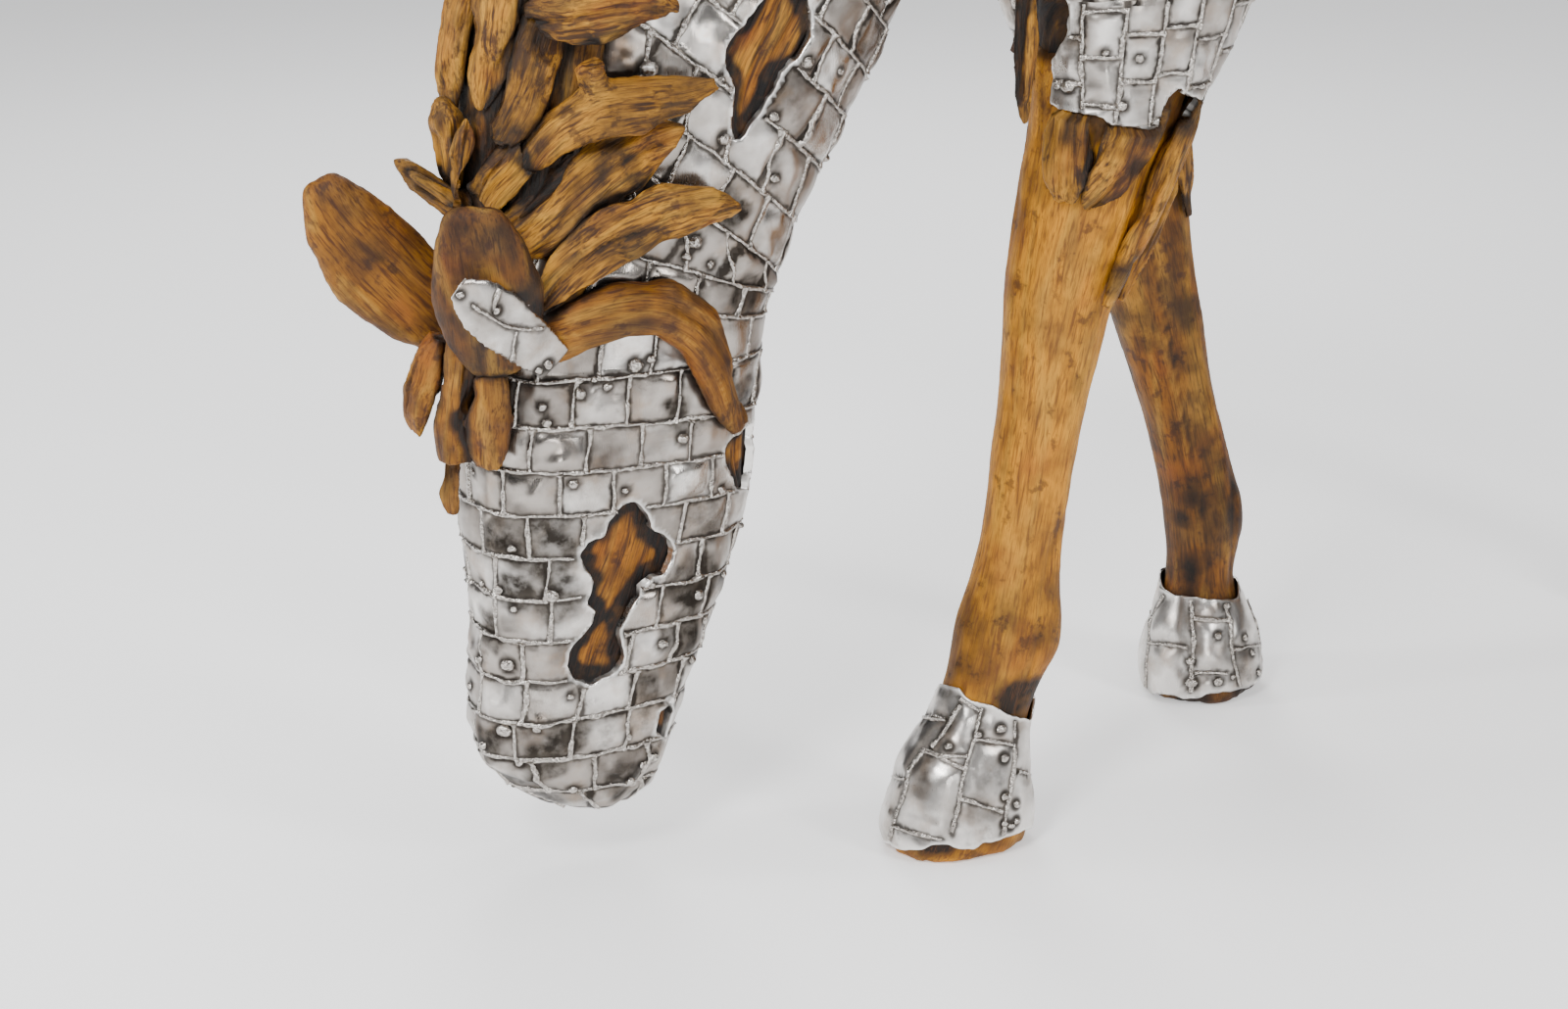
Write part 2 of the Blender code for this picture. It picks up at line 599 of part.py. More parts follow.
def lobed_outline(length, width, turn):
    """A rounded, lobed window outline worked out from its length and width."""
    points = []
    for index in range(PLAIN_WINDOW_CORNERS):
        angle = -math.tau * index / PLAIN_WINDOW_CORNERS
        reach = 1 + 0.16 * math.sin(2 * angle + turn) + 0.12 * math.sin(3 * angle + 2 * turn)
        points.append((length / 2 * reach * math.cos(angle), width / 2 * reach * math.sin(angle)))
    return points


def prism(points, normal, above, below):
    """A straight-sided bmesh through a ring of points, from above to below a surface."""
    upper = [point + normal * above for point in points]
    lower = [point - normal * below for point in points]
    return skinned([upper, lower])


def windows():
    """Every window's form, along, around and outline in metres."""
    shown = {
        "face_window": FACE_WINDOW, "jaw_window": JAW_WINDOW,
        "muzzle_window": MUZZLE_WINDOW, "neck_window": NECK_WINDOW,
    }
    unit = MM * STATURE
    made = {
        name: (form, along, around, [(down * unit, across * unit) for down, across in outline])
        for name, (form, along, around, outline) in shown.items()
    }
    for name, (form, along, around, length, width, turn) in PLAIN_WINDOWS.items():
        made[name] = (form, along, around, lobed_outline(length * STATURE, width * STATURE, turn))
    return made


def make_clad_body(horse):
    """The steel-clad trunk, neck, head, shoulders and thighs, joined as one solid."""
    body = new_object("steel_clad_body", horse.loft("torso"), horse.parts, horse.steel)
    for key in ("neck_and_head", "near_shoulder", "far_shoulder", "left_thigh", "right_thigh"):
        form, count, sides = horse.forms[key]
        rings = form_rings(form, count, sides)
        if key != "neck_and_head":
            rings[-1] = torn(rings[-1], TORN_RISE * STATURE, TORN_RIPPLE * STATURE)
        add_boolean(body, horse.guide(key + "_form", skinned(rings)), "UNION")
    return settle(body)


def make_leg(horse, key):
    """One carved leg with its hoof, from inside the steel down to the ground."""
    return new_object(key, horse.loft(key), horse.parts, horse.teak)


def make_boot(horse, key, leg, collar):
    """The steel sheet round a hoof, from above the sole up to a collar that slopes to the rear."""
    shape = bmesh.new()
    shape.from_mesh(horse.clearance(leg).data)
    slope = Vector((COLLAR_SLOPE, 0.0, 1.0)).normalized()
    middle_x = section_at(horse.forms[key][0], COLLAR_ALONG).a.x
    level = Vector((0.0, 0.0, 1.0))
    for height, upwards, keep_above in ((SOLE_HEIGHT, level, True), (collar, slope, False)):
        bmesh.ops.bisect_plane(
            shape, geom=[*shape.verts, *shape.edges, *shape.faces],
            plane_co=(middle_x, 0.0, height * STATURE), plane_no=upwards,
            clear_inner=keep_above, clear_outer=not keep_above,
        )
    boot = new_object(key.replace("leg", "hoof_boot"), shape, horse.parts, horse.steel)
    sheet = boot.modifiers.new("Sheet", "SOLIDIFY")
    sheet.thickness = STEEL_SHEET
    sheet.offset = 1.0
    sheet.use_even_offset = True
    return settle(boot)


def make_window(horse, body, name, key, along, around, outline):
    """Cuts a torn window in the steel and makes the charred teak that shows in it."""
    form = horse.forms[key][0]
    points, normal = outline_on_form(form, along, around, outline)
    inner, _ = outline_on_form(form, along, around, inset(outline, FIT_GAP))
    floor = horse.guide(name + "_floor", horse.loft(key, -WINDOW_DEPTH))
    pocket = horse.guide(name + "_pocket", prism(points, normal, WINDOW_REACH, WINDOW_REACH))
    add_boolean(pocket, floor)
    settle(pocket)
    add_boolean(body, pocket)
    plug = prism(inner, normal, WINDOW_REACH, WINDOW_REACH)
    inlay = new_object(name + "_wood", plug, horse.parts, horse.teak)
    surface = horse.guide(name + "_surface", horse.loft(key, -STEEL_SHEET))
    bed = horse.guide(name + "_bed", horse.loft(key, FIT_GAP - WINDOW_DEPTH))
    add_boolean(inlay, surface, "INTERSECT")
    add_boolean(inlay, bed)
    settle(inlay)
    keep_largest(inlay)


def lock_shape(path, facings, width, thickness, root, tip):
    """A carved piece that swells from its root and tapers to its tip, with a ridge off its middle."""
    rings = []
    last = len(path) + 1
    for station in range(last + 1):
        share = station / last
        centre = on_curve(path, share)
        ahead = (on_curve(path, share + 0.05) - on_curve(path, share - 0.05)).normalized()
        out = on_curve(facings, share)
        across = ahead.cross(out).normalized()
        out = across.cross(ahead).normalized()
        swell = on_curve((root, 1.0, LOCK_BELLY, tip), share)
        depths = (max(root, 2 * LOCK_LEAST_DEPTH), 1.0, LOCK_BELLY, max(tip, LOCK_LEAST_DEPTH))
        depth = on_curve(depths, share)
        ridge = RIDGE_SHIFT * math.sin(math.pi * share)
        ring = []
        for side in range(LOCK_SIDES):
            turn = math.tau * side / LOCK_SIDES
            sideways = math.cos(turn) + ridge * max(math.sin(turn), 0.0)
            reach = across * sideways * width * swell / 2
            ring.append(centre + reach + out * math.sin(turn) * thickness * depth / 2)
        rings.append(ring)
    return skinned(rings)


def lock_on_form(form, lock):
    """A carved piece whose places are given along and around a form."""
    unit = MM * STATURE
    path = [form_point(form, along, around, lift * unit) for along, around, lift in lock.places]
    facings = [form_normal(form, along, around) for along, around, _ in lock.places]
    return lock_shape(path, facings, lock.width * STATURE, lock.thickness * STATURE, lock.root, lock.tip)


def lock_in_space(lock, facing):
    """A carved piece whose places are points of the drawing."""
    path = [drawn(*point) for point in lock.places]
    facings = [Vector(facing)] * len(path)
    return lock_shape(path, facings, lock.width * STATURE, lock.thickness * STATURE, lock.root, lock.tip)


def repeated_mane():
    """The mane's pieces above and behind the main view, which follow one pattern on each side."""
    made = {}
    for index in range(UPPER_LEFT_LOCKS):
        along = UPPER_LEFT_START + UPPER_LEFT_STEP * index
        places = (
            (along + MANE_ROOT_SETBACK, 8, 26), (along, 34, 36), (along - MANE_TIP_REACH, 66 + 5 * index, 26),
        )
        made[f"mane_upper_left_{index + 1}"] = Lock(places, 0.130, 0.044, 0.60, 0.14)
    for index in range(RIGHT_LOCKS):
        along = RIGHT_START + RIGHT_STEP * index
        places = (
            (along + MANE_ROOT_SETBACK, -12, 22), (along, -38, 32),
            (along - MANE_TIP_REACH, -68 - 5 * (index % 2), 22),
        )
        made[f"mane_right_{index + 1}"] = Lock(places, 0.125, 0.042, 0.60, 0.14)
    for index in range(CREST_STRIPS):
        along = CREST_START + CREST_STEP * index
        places = (
            (along + CREST_STEP, -5 + 4 * index, 14), (along + CREST_STEP / 2, -2, 30),
            (along, 3 - 3 * index, 26),
        )
        made[f"mane_crest_{index + 1}"] = Lock(places, 0.120, 0.056, 0.75, 0.45)
    return made


def make_head_pieces(horse, body):
    """The ears, the brow piece, the forelock and the mane, each trimmed to those placed before it."""
    neck = horse.forms["neck_and_head"][0]
    placed = [body]

    def place(name, shape, material=None, branch=None):
        piece = new_object(name, shape, horse.parts, material or horse.teak)
        if branch:
            add_boolean(piece, horse.guide(name + "_branch", branch), "UNION")
            settle(piece)
        placed.append(horse.fit(piece, placed))

    place("near_ear", lock_in_space(NEAR_EAR, EAR_FACING))
    place("near_ear_steel_leaf", lock_in_space(EAR_LEAF, EAR_FACING), horse.steel)
    place("far_ear", lock_in_space(FAR_EAR, EAR_FACING))
    place("brow_piece", lock_on_form(neck, BROW_PIECE))
    branches = {"forelock_wedge": WEDGE_POINT, "mane_lock_b": MANE_BRANCH}
    for name, lock in {**FORELOCK_PIECES, **MANE_LOCKS, **repeated_mane()}.items():
        branch = lock_on_form(neck, branches[name]) if name in branches else None
        place(name, lock_on_form(neck, lock), branch=branch)


def make_forearm_pieces(horse, neighbours):
    """The slabs and splints that lie on the forearms below the steel."""
    shapes = {}
    for name, (leg, lock) in FOREARM_PIECES.items():
        shapes[name] = lock_on_form(horse.forms[leg][0], lock)
    shapes["near_forearm_front_splint"] = lock_in_space(SPLINT_FRONT, EAR_FACING)
    placed = list(neighbours)
    for name, shape in shapes.items():
        placed.append(horse.fit(new_object(name, shape, horse.parts, horse.teak), placed))


def make_tail(horse, body):
    """Long carved pieces that hang from the dock."""
    placed = [body]
    for index, (sideways, back, tip_height) in enumerate(TAIL_PIECES):
        places = [
            (x + back_share * back, sideways * side_share, z + rise_share * back)
            for x, z, back_share, side_share, rise_share in TAIL_STATIONS
        ]
        places.append((TAIL_TIP_X + back, sideways * TAIL_TIP_SPREAD, tip_height))
        lock = Lock(places, TAIL_WIDTH, TAIL_THICKNESS, TAIL_ROOT, TAIL_TIP)
        shape = lock_in_space(lock, (1.0, 0.3 * sideways, 0.2))
        piece = new_object(f"tail_piece_{index + 1}", shape, horse.parts, horse.teak)
        placed.append(horse.fit(piece, placed))


def stand_on_origin(horse):
    """Moves everything so that the origin is under the middle of the sculpture."""
    boxes = [extent(piece) for piece in horse.parts.objects]
    low = Vector([min(box[0][axis] for box in boxes) for axis in range(3)])
    high = Vector([max(box[1][axis] for box in boxes) for axis in range(3)])
    root = bpy.data.objects.new("grazing_horse_root", None)
    bpy.context.scene.collection.objects.link(root)
    root.location = (-(low.x + high.x) / 2, -(low.y + high.y) / 2, -low.z)
    for piece in [*horse.parts.objects, *horse.guides.objects]:
        piece.parent = root


def main():
    for old in list(bpy.data.objects):
        bpy.data.objects.remove(old, do_unlink=True)
    horse = Sculpture()
    body = make_clad_body(horse)
    legs = {}
    for key, collar in BOOT_COLLARS.items():
        legs[key] = make_leg(horse, key)
        make_boot(horse, key, legs[key], collar)
    make_head_pieces(horse, body)
    make_forearm_pieces(horse, [body, *legs.values()])
    make_tail(horse, body)
    for leg in legs.values():
        add_boolean(body, horse.clearance(leg))
    for name, (key, along, around, outline) in windows().items():
        make_window(horse, body, name, key, along, around, outline)
    for piece in horse.parts.objects:
        piece.data.shade_smooth()
        piece.data.set_sharp_from_angle(angle=SHARP_ANGLE)
    stand_on_origin(horse)


main()
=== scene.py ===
# %% [markdown]
# # A grazing horse in teak and welded steel
#
# The real sculpture is life size. Its legs, ears, mane and forelock are carved teak, scorched with a
# torch. Head, neck, body and hooves wear a skin of small stainless sheets, beaten over a form and welded
# edge to edge, with torn windows that show charred teak. This lesson dresses the plain CAD solids in
# those two finishes. The solids are fixed, so every new piece is grown from the solid that it dresses.

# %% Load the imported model
import itertools
import math

import bmesh
import bpy
import numpy as np
from mathutils import Matrix, Vector
from mathutils.bvhtree import BVHTree
from mathutils.kdtree import KDTree


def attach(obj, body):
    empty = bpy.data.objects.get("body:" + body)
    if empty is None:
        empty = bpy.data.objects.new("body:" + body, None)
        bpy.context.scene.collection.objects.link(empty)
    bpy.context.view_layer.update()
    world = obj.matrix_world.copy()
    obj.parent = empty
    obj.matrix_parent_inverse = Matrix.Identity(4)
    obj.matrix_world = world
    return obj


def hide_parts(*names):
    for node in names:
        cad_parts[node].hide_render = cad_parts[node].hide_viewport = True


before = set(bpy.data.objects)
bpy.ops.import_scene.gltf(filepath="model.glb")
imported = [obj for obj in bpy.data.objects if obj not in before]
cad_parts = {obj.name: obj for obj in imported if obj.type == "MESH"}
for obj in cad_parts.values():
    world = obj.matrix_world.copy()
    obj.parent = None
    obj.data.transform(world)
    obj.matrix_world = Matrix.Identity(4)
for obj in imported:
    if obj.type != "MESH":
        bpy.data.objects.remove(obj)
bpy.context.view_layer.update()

print("solids:", len(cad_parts))

# %% [markdown]
# ## The studio
#
# The photo is a cut-out on white, taken from the horse's left front, a little above its head. Polished
# steel shows what stands round it, so the light comes from a few large soft panels, with darker gaps
# between them for the plates to reflect.

# %% Camera at the photograph's angle
CAMERA_PLACE = (-2.0916, -3.057, 1.465)
CAMERA_TURN = math.radians(-25)
CAMERA_DIP = math.radians(18.019)
CAMERA_LENS = 74.25

lens = bpy.data.cameras.new("photo_lens")
lens.lens = CAMERA_LENS
lens.sensor_width = 36
camera = bpy.data.objects.new("photo_camera", lens)
camera.location = CAMERA_PLACE
camera.rotation_euler = (math.pi / 2 - CAMERA_DIP, 0.0, CAMERA_TURN)
bpy.context.scene.collection.objects.link(camera)
bpy.context.scene.camera = camera
print("camera:", CAMERA_PLACE, "lens in mm:", CAMERA_LENS)

# %% [markdown]
# ## Finishes made of nodes
#
# Nothing on the real object has one even colour, so each finish is built from nodes. They could be placed
# by hand in the shader editor. Here one small function adds a node with its settings and links, so that a
# whole finish reads from top to bottom.


# %% One function for every node of a material
def linear(hex_colour):
    """An sRGB hex colour as Blender's linear colour."""
    parts = [int(hex_colour[at:at + 2], 16) / 255 for at in (1, 3, 5)]
    return tuple(p / 12.92 if p <= 0.04045 else ((p + 0.055) / 1.055) ** 2.4 for p in parts) + (1.0,)


def add(tree, kind, links=None, stops=(), **settings):
    """Adds a node. Settings are its own, and stops are the places and hex colours of a ramp. links gives
    each input, by name or number or as a list in order, a value, a socket or a node to take it from."""
    node = tree.nodes.new("ShaderNode" + kind)
    for key, value in settings.items():
        setattr(node, key, value)
    for place, colour in stops[2:]:
        node.color_ramp.elements.new(place)
    for element, (place, colour) in zip(node.color_ramp.elements if stops else (), stops):
        element.position = place
        element.color = linear(colour)
    named = links if isinstance(links, dict) else dict(enumerate(links or ()))
    for key, value in named.items():
        if isinstance(value, bpy.types.Node):
            value = next(socket for socket in value.outputs if socket.enabled)
        if isinstance(value, bpy.types.NodeSocket):
            tree.links.new(value, node.inputs[key])
        else:
            node.inputs[key].default_value = value
    return node


def new_material(name):
    """An empty material and its node tree."""
    material = bpy.data.materials.new(name)
    material.use_nodes = True
    material.node_tree.nodes.clear()
    return material, material.node_tree


# %% [markdown]
# ## Floor, air and light panels
#
# The photo shows no ground, so the floor is plain and matt, and glows a little so that it stays pale. The
# air is dark near the horizon and pale above, which gives the steel something to reflect. Sun lamps would
# be simpler, but polished steel shows the shape of each lamp, so the light comes from soft panels.

# %% Floor
FLOOR_HALF = 14.0
FLOOR_GLOW = 0.5

studio_floor, tree = new_material("matt_white_studio_floor")
floor_paint = add(tree, "BsdfPrincipled", {
    "Base Color": linear("#FCFCFC"), "Roughness": 0.85,
    "Emission Color": linear("#FFFFFF"), "Emission Strength": FLOOR_GLOW,
})
add(tree, "OutputMaterial", [floor_paint])
shape = bmesh.new()
bmesh.ops.create_grid(shape, x_segments=1, y_segments=1, size=FLOOR_HALF)
floor_mesh = bpy.data.meshes.new("studio_floor")
shape.to_mesh(floor_mesh)
shape.free()
floor_mesh.materials.append(studio_floor)
floor = bpy.data.objects.new("studio_floor", floor_mesh)
bpy.context.scene.collection.objects.link(floor)
print("floor:", 2 * FLOOR_HALF, "m wide")

# %% Air and light panels
AIR_STRENGTH = 0.7

world = bpy.data.worlds.new("studio_air")
bpy.context.scene.world = world
world.use_nodes = True
tree = world.node_tree
tree.nodes.clear()
height = add(tree, "SeparateXYZ", [add(tree, "TexCoord").outputs["Generated"]]).outputs[2]
air = add(tree, "ValToRGB", [height],
          stops=((0.0, "#8A8A8C"), (0.06, "#242527"), (0.35, "#434448"), (0.85, "#DADBDE")))
add(tree, "OutputWorld", [add(tree, "Background", {"Color": air, "Strength": AIR_STRENGTH})])

# Each panel: name, place, the point that it faces, width, height, watts.
LIGHT_PANELS = (
    ("key_panel", (-3.4, -2.4, 3.3), (-0.7, 0.0, 0.5), 1.0, 1.6, 150.0),
    ("side_panel", (1.4, -3.8, 2.6), (-0.3, 0.0, 0.5), 0.9, 2.0, 100.0),
    ("front_strip", (-3.8, 0.9, 1.6), (-0.8, 0.0, 0.5), 0.4, 2.2, 60.0),
    ("low_strip", (-1.6, -4.2, 0.8), (-0.8, 0.0, 0.5), 1.6, 0.3, 28.0),
    ("top_panel", (-0.4, 0.2, 4.4), (-0.4, 0.0, 0.5), 2.2, 2.2, 70.0),
    ("back_panel", (0.6, 3.6, 3.2), (0.0, 0.0, 0.6), 1.6, 1.6, 90.0),
)
for name, place, target, width, height, watts in LIGHT_PANELS:
    panel = bpy.data.lights.new(name, "AREA")
    panel.shape = "RECTANGLE"
    panel.size = width
    panel.size_y = height
    panel.energy = watts
    lamp = bpy.data.objects.new(name, panel)
    lamp.location = place
    lamp.rotation_euler = (Vector(target) - Vector(place)).to_track_quat("-Z", "Y").to_euler()
    bpy.context.scene.collection.objects.link(lamp)
print("light panels:", len(LIGHT_PANELS))

# %% [markdown]
# ## Chance that repeats
#
# Beaten plates and carved wood are never even. All unevenness here comes from two small functions that
# give the same numbers at every run: one number for each cell of a lattice, and a smooth drift between
# such numbers. Points are in metres, so a drift's size is the real size of a dent or a groove.


# %% Noise
def chance(cells):
    """One repeatable number from 0 to 1 for each cell of whole numbers."""
    mixed = np.sin(cells @ np.array((12.9898, 78.233, 37.719))) * 43758.5453
    return mixed - np.floor(mixed)


def drift(points, size, seed=0):
    """Smooth noise from -1 to 1. size is its grain, one length or one for each axis."""
    place = np.asarray(points) / size + seed * 17.31
    cell = np.floor(place)
    share = place - cell
    share = share * share * (3 - 2 * share)
    total = 0.0
    for corner in itertools.product((0, 1), repeat=3):
        weight = np.prod(np.where(corner, share, 1 - share), axis=1)
        total = total + weight * chance(cell + corner)
    return total * 2 - 1


def ridges(points, size, seed=0):
    """Noise with narrow crests, from 0 in the hollows to 1 on a crest."""
    return 1 - np.abs(drift(points, size, seed)) * 2


# %% [markdown]
# ## Growing a smooth form from a faceted solid
#
# The CAD solids have few, flat faces. A voxel remesh joins overlapping solids into one skin of even
# squares, a few rounds of smoothing melt the facets, and a subdivision surface gives faces fine enough
# for the dents. That keeps the place and the size of the solid.


# %% Mesh helpers
WELD_REACH = 0.00002


def joined(names, above=None):
    """A bmesh of copies of the CAD nodes, welded. Copies may be cut off below a height."""
    shape = bmesh.new()
    for name in names:
        shape.from_mesh(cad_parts[name].data)
    bmesh.ops.remove_doubles(shape, verts=shape.verts, dist=WELD_REACH)
    if above is not None:
        everything = [*shape.verts, *shape.edges, *shape.faces]
        cut = bmesh.ops.bisect_plane(
            shape, geom=everything, plane_co=(0, 0, above), plane_no=(0, 0, 1), clear_inner=True,
        )
        loose = [item for item in cut["geom_cut"] if isinstance(item, bmesh.types.BMEdge)]
        bmesh.ops.holes_fill(shape, edges=loose)
    return shape


def shape_of(mesh):
    """A bmesh with a copy of a mesh in it."""
    shape = bmesh.new()
    shape.from_mesh(mesh)
    return shape


def to_object(name, shape):
    """A new object from a bmesh, which is freed."""
    mesh = bpy.data.meshes.new(name)
    shape.to_mesh(mesh)
    shape.free()
    piece = bpy.data.objects.new(name, mesh)
    bpy.context.scene.collection.objects.link(piece)
    return piece


def baked(piece):
    """Applies the piece's modifiers to its mesh."""
    graph = bpy.context.evaluated_depsgraph_get()
    mesh = bpy.data.meshes.new_from_object(piece.evaluated_get(graph))
    old = piece.data
    piece.modifiers.clear()
    piece.data = mesh
    bpy.data.meshes.remove(old)
    return piece


def divided(piece, levels):
    """Gives a piece a subdivision surface, with as many levels in the view as in the render."""
    if levels:
        finer = piece.modifiers.new("Finer", "SUBSURF")
        finer.levels = levels
        finer.render_levels = levels
    return piece


def smooth_form(name, shape, voxel, rounds, levels):
    """Remeshes a bmesh into even squares, smooths it and subdivides it."""
    piece = to_object(name, shape)
    remesh = piece.modifiers.new("Even", "REMESH")
    remesh.mode = "VOXEL"
    remesh.voxel_size = voxel
    smooth = piece.modifiers.new("Melt", "SMOOTH")
    smooth.factor = 0.5
    smooth.iterations = rounds
    return baked(divided(piece, levels))


# %% Reading and moving points
def read_places(items, key="co"):
    """A place or a direction of every item of a mesh."""
    found = np.empty(len(items) * 3, np.float32)
    items.foreach_get(key, found)
    return found.reshape(-1, 3)


def read_counts(items, key):
    """A whole number of every item of a mesh."""
    found = np.empty(len(items), np.int32)
    items.foreach_get(key, found)
    return found


def points_of(piece):
    return read_places(piece.data.vertices).astype(float)


def normals_of(piece):
    return read_places(piece.data.vertex_normals, "vector").astype(float)


def middles_of(piece):
    return read_places(piece.data.polygons, "center").astype(float)


def corners_of(piece):
    """The face and the place of each corner of each face."""
    mesh = piece.data
    faces = np.repeat(np.arange(len(mesh.polygons)), read_counts(mesh.polygons, "loop_total"))
    return faces, points_of(piece)[read_counts(mesh.loops, "vertex_index")]


def move_points(piece, places):
    piece.data.vertices.foreach_set("co", places.astype(np.float32).ravel())
    piece.data.update()


# %% Searching a surface and storing values
def surface_of(piece):
    """A search tree over the piece's faces."""
    shape = shape_of(piece.data)
    tree = BVHTree.FromBMesh(shape)
    shape.free()
    return tree


def nearness(tree, points, reach):
    """The distance from each point to a surface, at most reach."""
    found = np.full(len(points), reach)
    for index, point in enumerate(points):
        distance = tree.find_nearest(point, reach)[3]
        if distance is not None:
            found[index] = distance
    return found


def write_values(piece, name, kind, domain, values):
    """Stores an attribute that a material reads."""
    layer = piece.data.attributes.new(name, kind, domain)
    key = {"FLOAT": "value", "FLOAT_VECTOR": "vector", "FLOAT_COLOR": "color"}[kind]
    layer.data.foreach_set(key, np.asarray(values, np.float32).ravel())


# %% Finishing a piece
BELLY_KNEE = 0.250
BELLY_PRESS = 0.18


def hold_in_box(piece):
    """Presses the widest part of the belly a little flatter, and holds the soles on the floor, so that the
    finish stays inside the box of the solids."""
    points = points_of(piece)
    beyond = np.maximum(np.abs(points[:, 1]) - BELLY_KNEE, 0)
    points[:, 1] -= np.sign(points[:, 1]) * beyond * BELLY_PRESS
    points[:, 2] = np.maximum(points[:, 2], 0.0)
    move_points(piece, points)


def finish_piece(piece, material, replaces=()):
    """Gives a piece its material and its place in the model."""
    hold_in_box(piece)
    piece.data.materials.clear()
    piece.data.materials.append(material)
    for face in piece.data.polygons:
        face.use_smooth = True
    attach(piece, "root")
    if replaces:
        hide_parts(*replaces)
    print(piece.name, "triangles:", sum(len(face.vertices) - 2 for face in piece.data.polygons))


# %% [markdown]
# ## From a pixel of the photo to a place on the sculpture
#
# The camera stands where the photographer stood, so a pixel of the photo is a ray from the camera. Where
# the ray meets a surface is the place that the pixel shows. Torn edges, seams and blobs that the photo
# shows clearly are placed this way, with a few pixels each.

# %% Tracing
PHOTO_MIDDLE = (800, 515)
PHOTO_FOCUS = 3300
# A ray that misses is searched from 100 mm before the usual distance to 120 mm beyond it.
SEARCH_BEFORE = 0.10
SEARCH_BEYOND = 0.12
SEARCH_TRIES = 23


def trace(tree, pixels):
    """Places on a surface behind pixels of the photo. Where a ray passes by it, or meets something far
    behind the other places, it is the place that the ray comes closest to."""
    turn = camera.rotation_euler.to_matrix()
    rays, spots = [], []
    for x, y in pixels:
        ray = turn @ Vector((x - PHOTO_MIDDLE[0], PHOTO_MIDDLE[1] - y, -PHOTO_FOCUS))
        rays.append(ray.normalized())
        spots.append(tree.ray_cast(camera.location, rays[-1])[0])
    reach = float(np.median([(spot - camera.location).length for spot in spots if spot is not None]))
    lengths = np.linspace(reach - SEARCH_BEFORE, reach + SEARCH_BEYOND, SEARCH_TRIES)
    for index, (ray, spot) in enumerate(zip(rays, spots)):
        if spot is None or (spot - camera.location).length > reach + SEARCH_BEYOND:
            tries = [tree.find_nearest(camera.location + ray * length) for length in lengths]
            spots[index] = min(tries, key=lambda found: found[3])[0]
    return spots


def trace_line(tree, pixels, step=3.0):
    """Places close together along a line through pixels. A pixel is about a millimetre there."""
    pixels = np.array(pixels, float)
    lengths = np.concatenate([[0.0], np.cumsum(np.linalg.norm(np.diff(pixels, axis=0), axis=1))])
    wanted = np.linspace(0, lengths[-1], max(int(lengths[-1] / step), 3) + 1)
    return trace(tree, np.stack([np.interp(wanted, lengths, pixels[:, axis]) for axis in (0, 1)], 1))


def turn_from_camera(spots, middle_x, middle_y):
    """The turn of each place round an upright line, 0 where it faces the camera."""
    toward = math.atan2(CAMERA_PLACE[1] - middle_y, CAMERA_PLACE[0] - middle_x)
    turn = np.arctan2(spots[:, 1] - middle_y, spots[:, 0] - middle_x) - toward
    return (turn + math.pi) % (2 * math.pi) - math.pi


def gap_to(knots, points):
    """The distance from each point to the nearest of many knots."""
    tree = KDTree(len(knots))
    for index, knot in enumerate(knots):
        tree.insert(knot, index)
    tree.balance()
    return np.array([tree.find(point)[2] for point in points])


# %% [markdown]
# ## Rows of plates
#
# A welder clads a form in rows, like bricks: each row is a ring of sheets about 50 mm high, and each
# sheet is staggered against those of the row before. Here a row is the band between two lines drawn on
# the side view. A turn round the line's middle finds the sheets of that band. On the limbs the rows run
# lengthwise instead, as on the real cuffs and hooves.
#
# Seams could be painted with a texture, but a weld bead stands 2 mm proud and catches light. So the
# same rows later place real beads.


# %% Plating
TURNS = np.radians(np.arange(-180, 181, 3.0))
LONGEST_STEP = 0.05
ROW_HEIGHT = 0.05
# A sheet of a lengthwise strip is this many times as long as it is wide.
STRIP_RATIO = 1.25


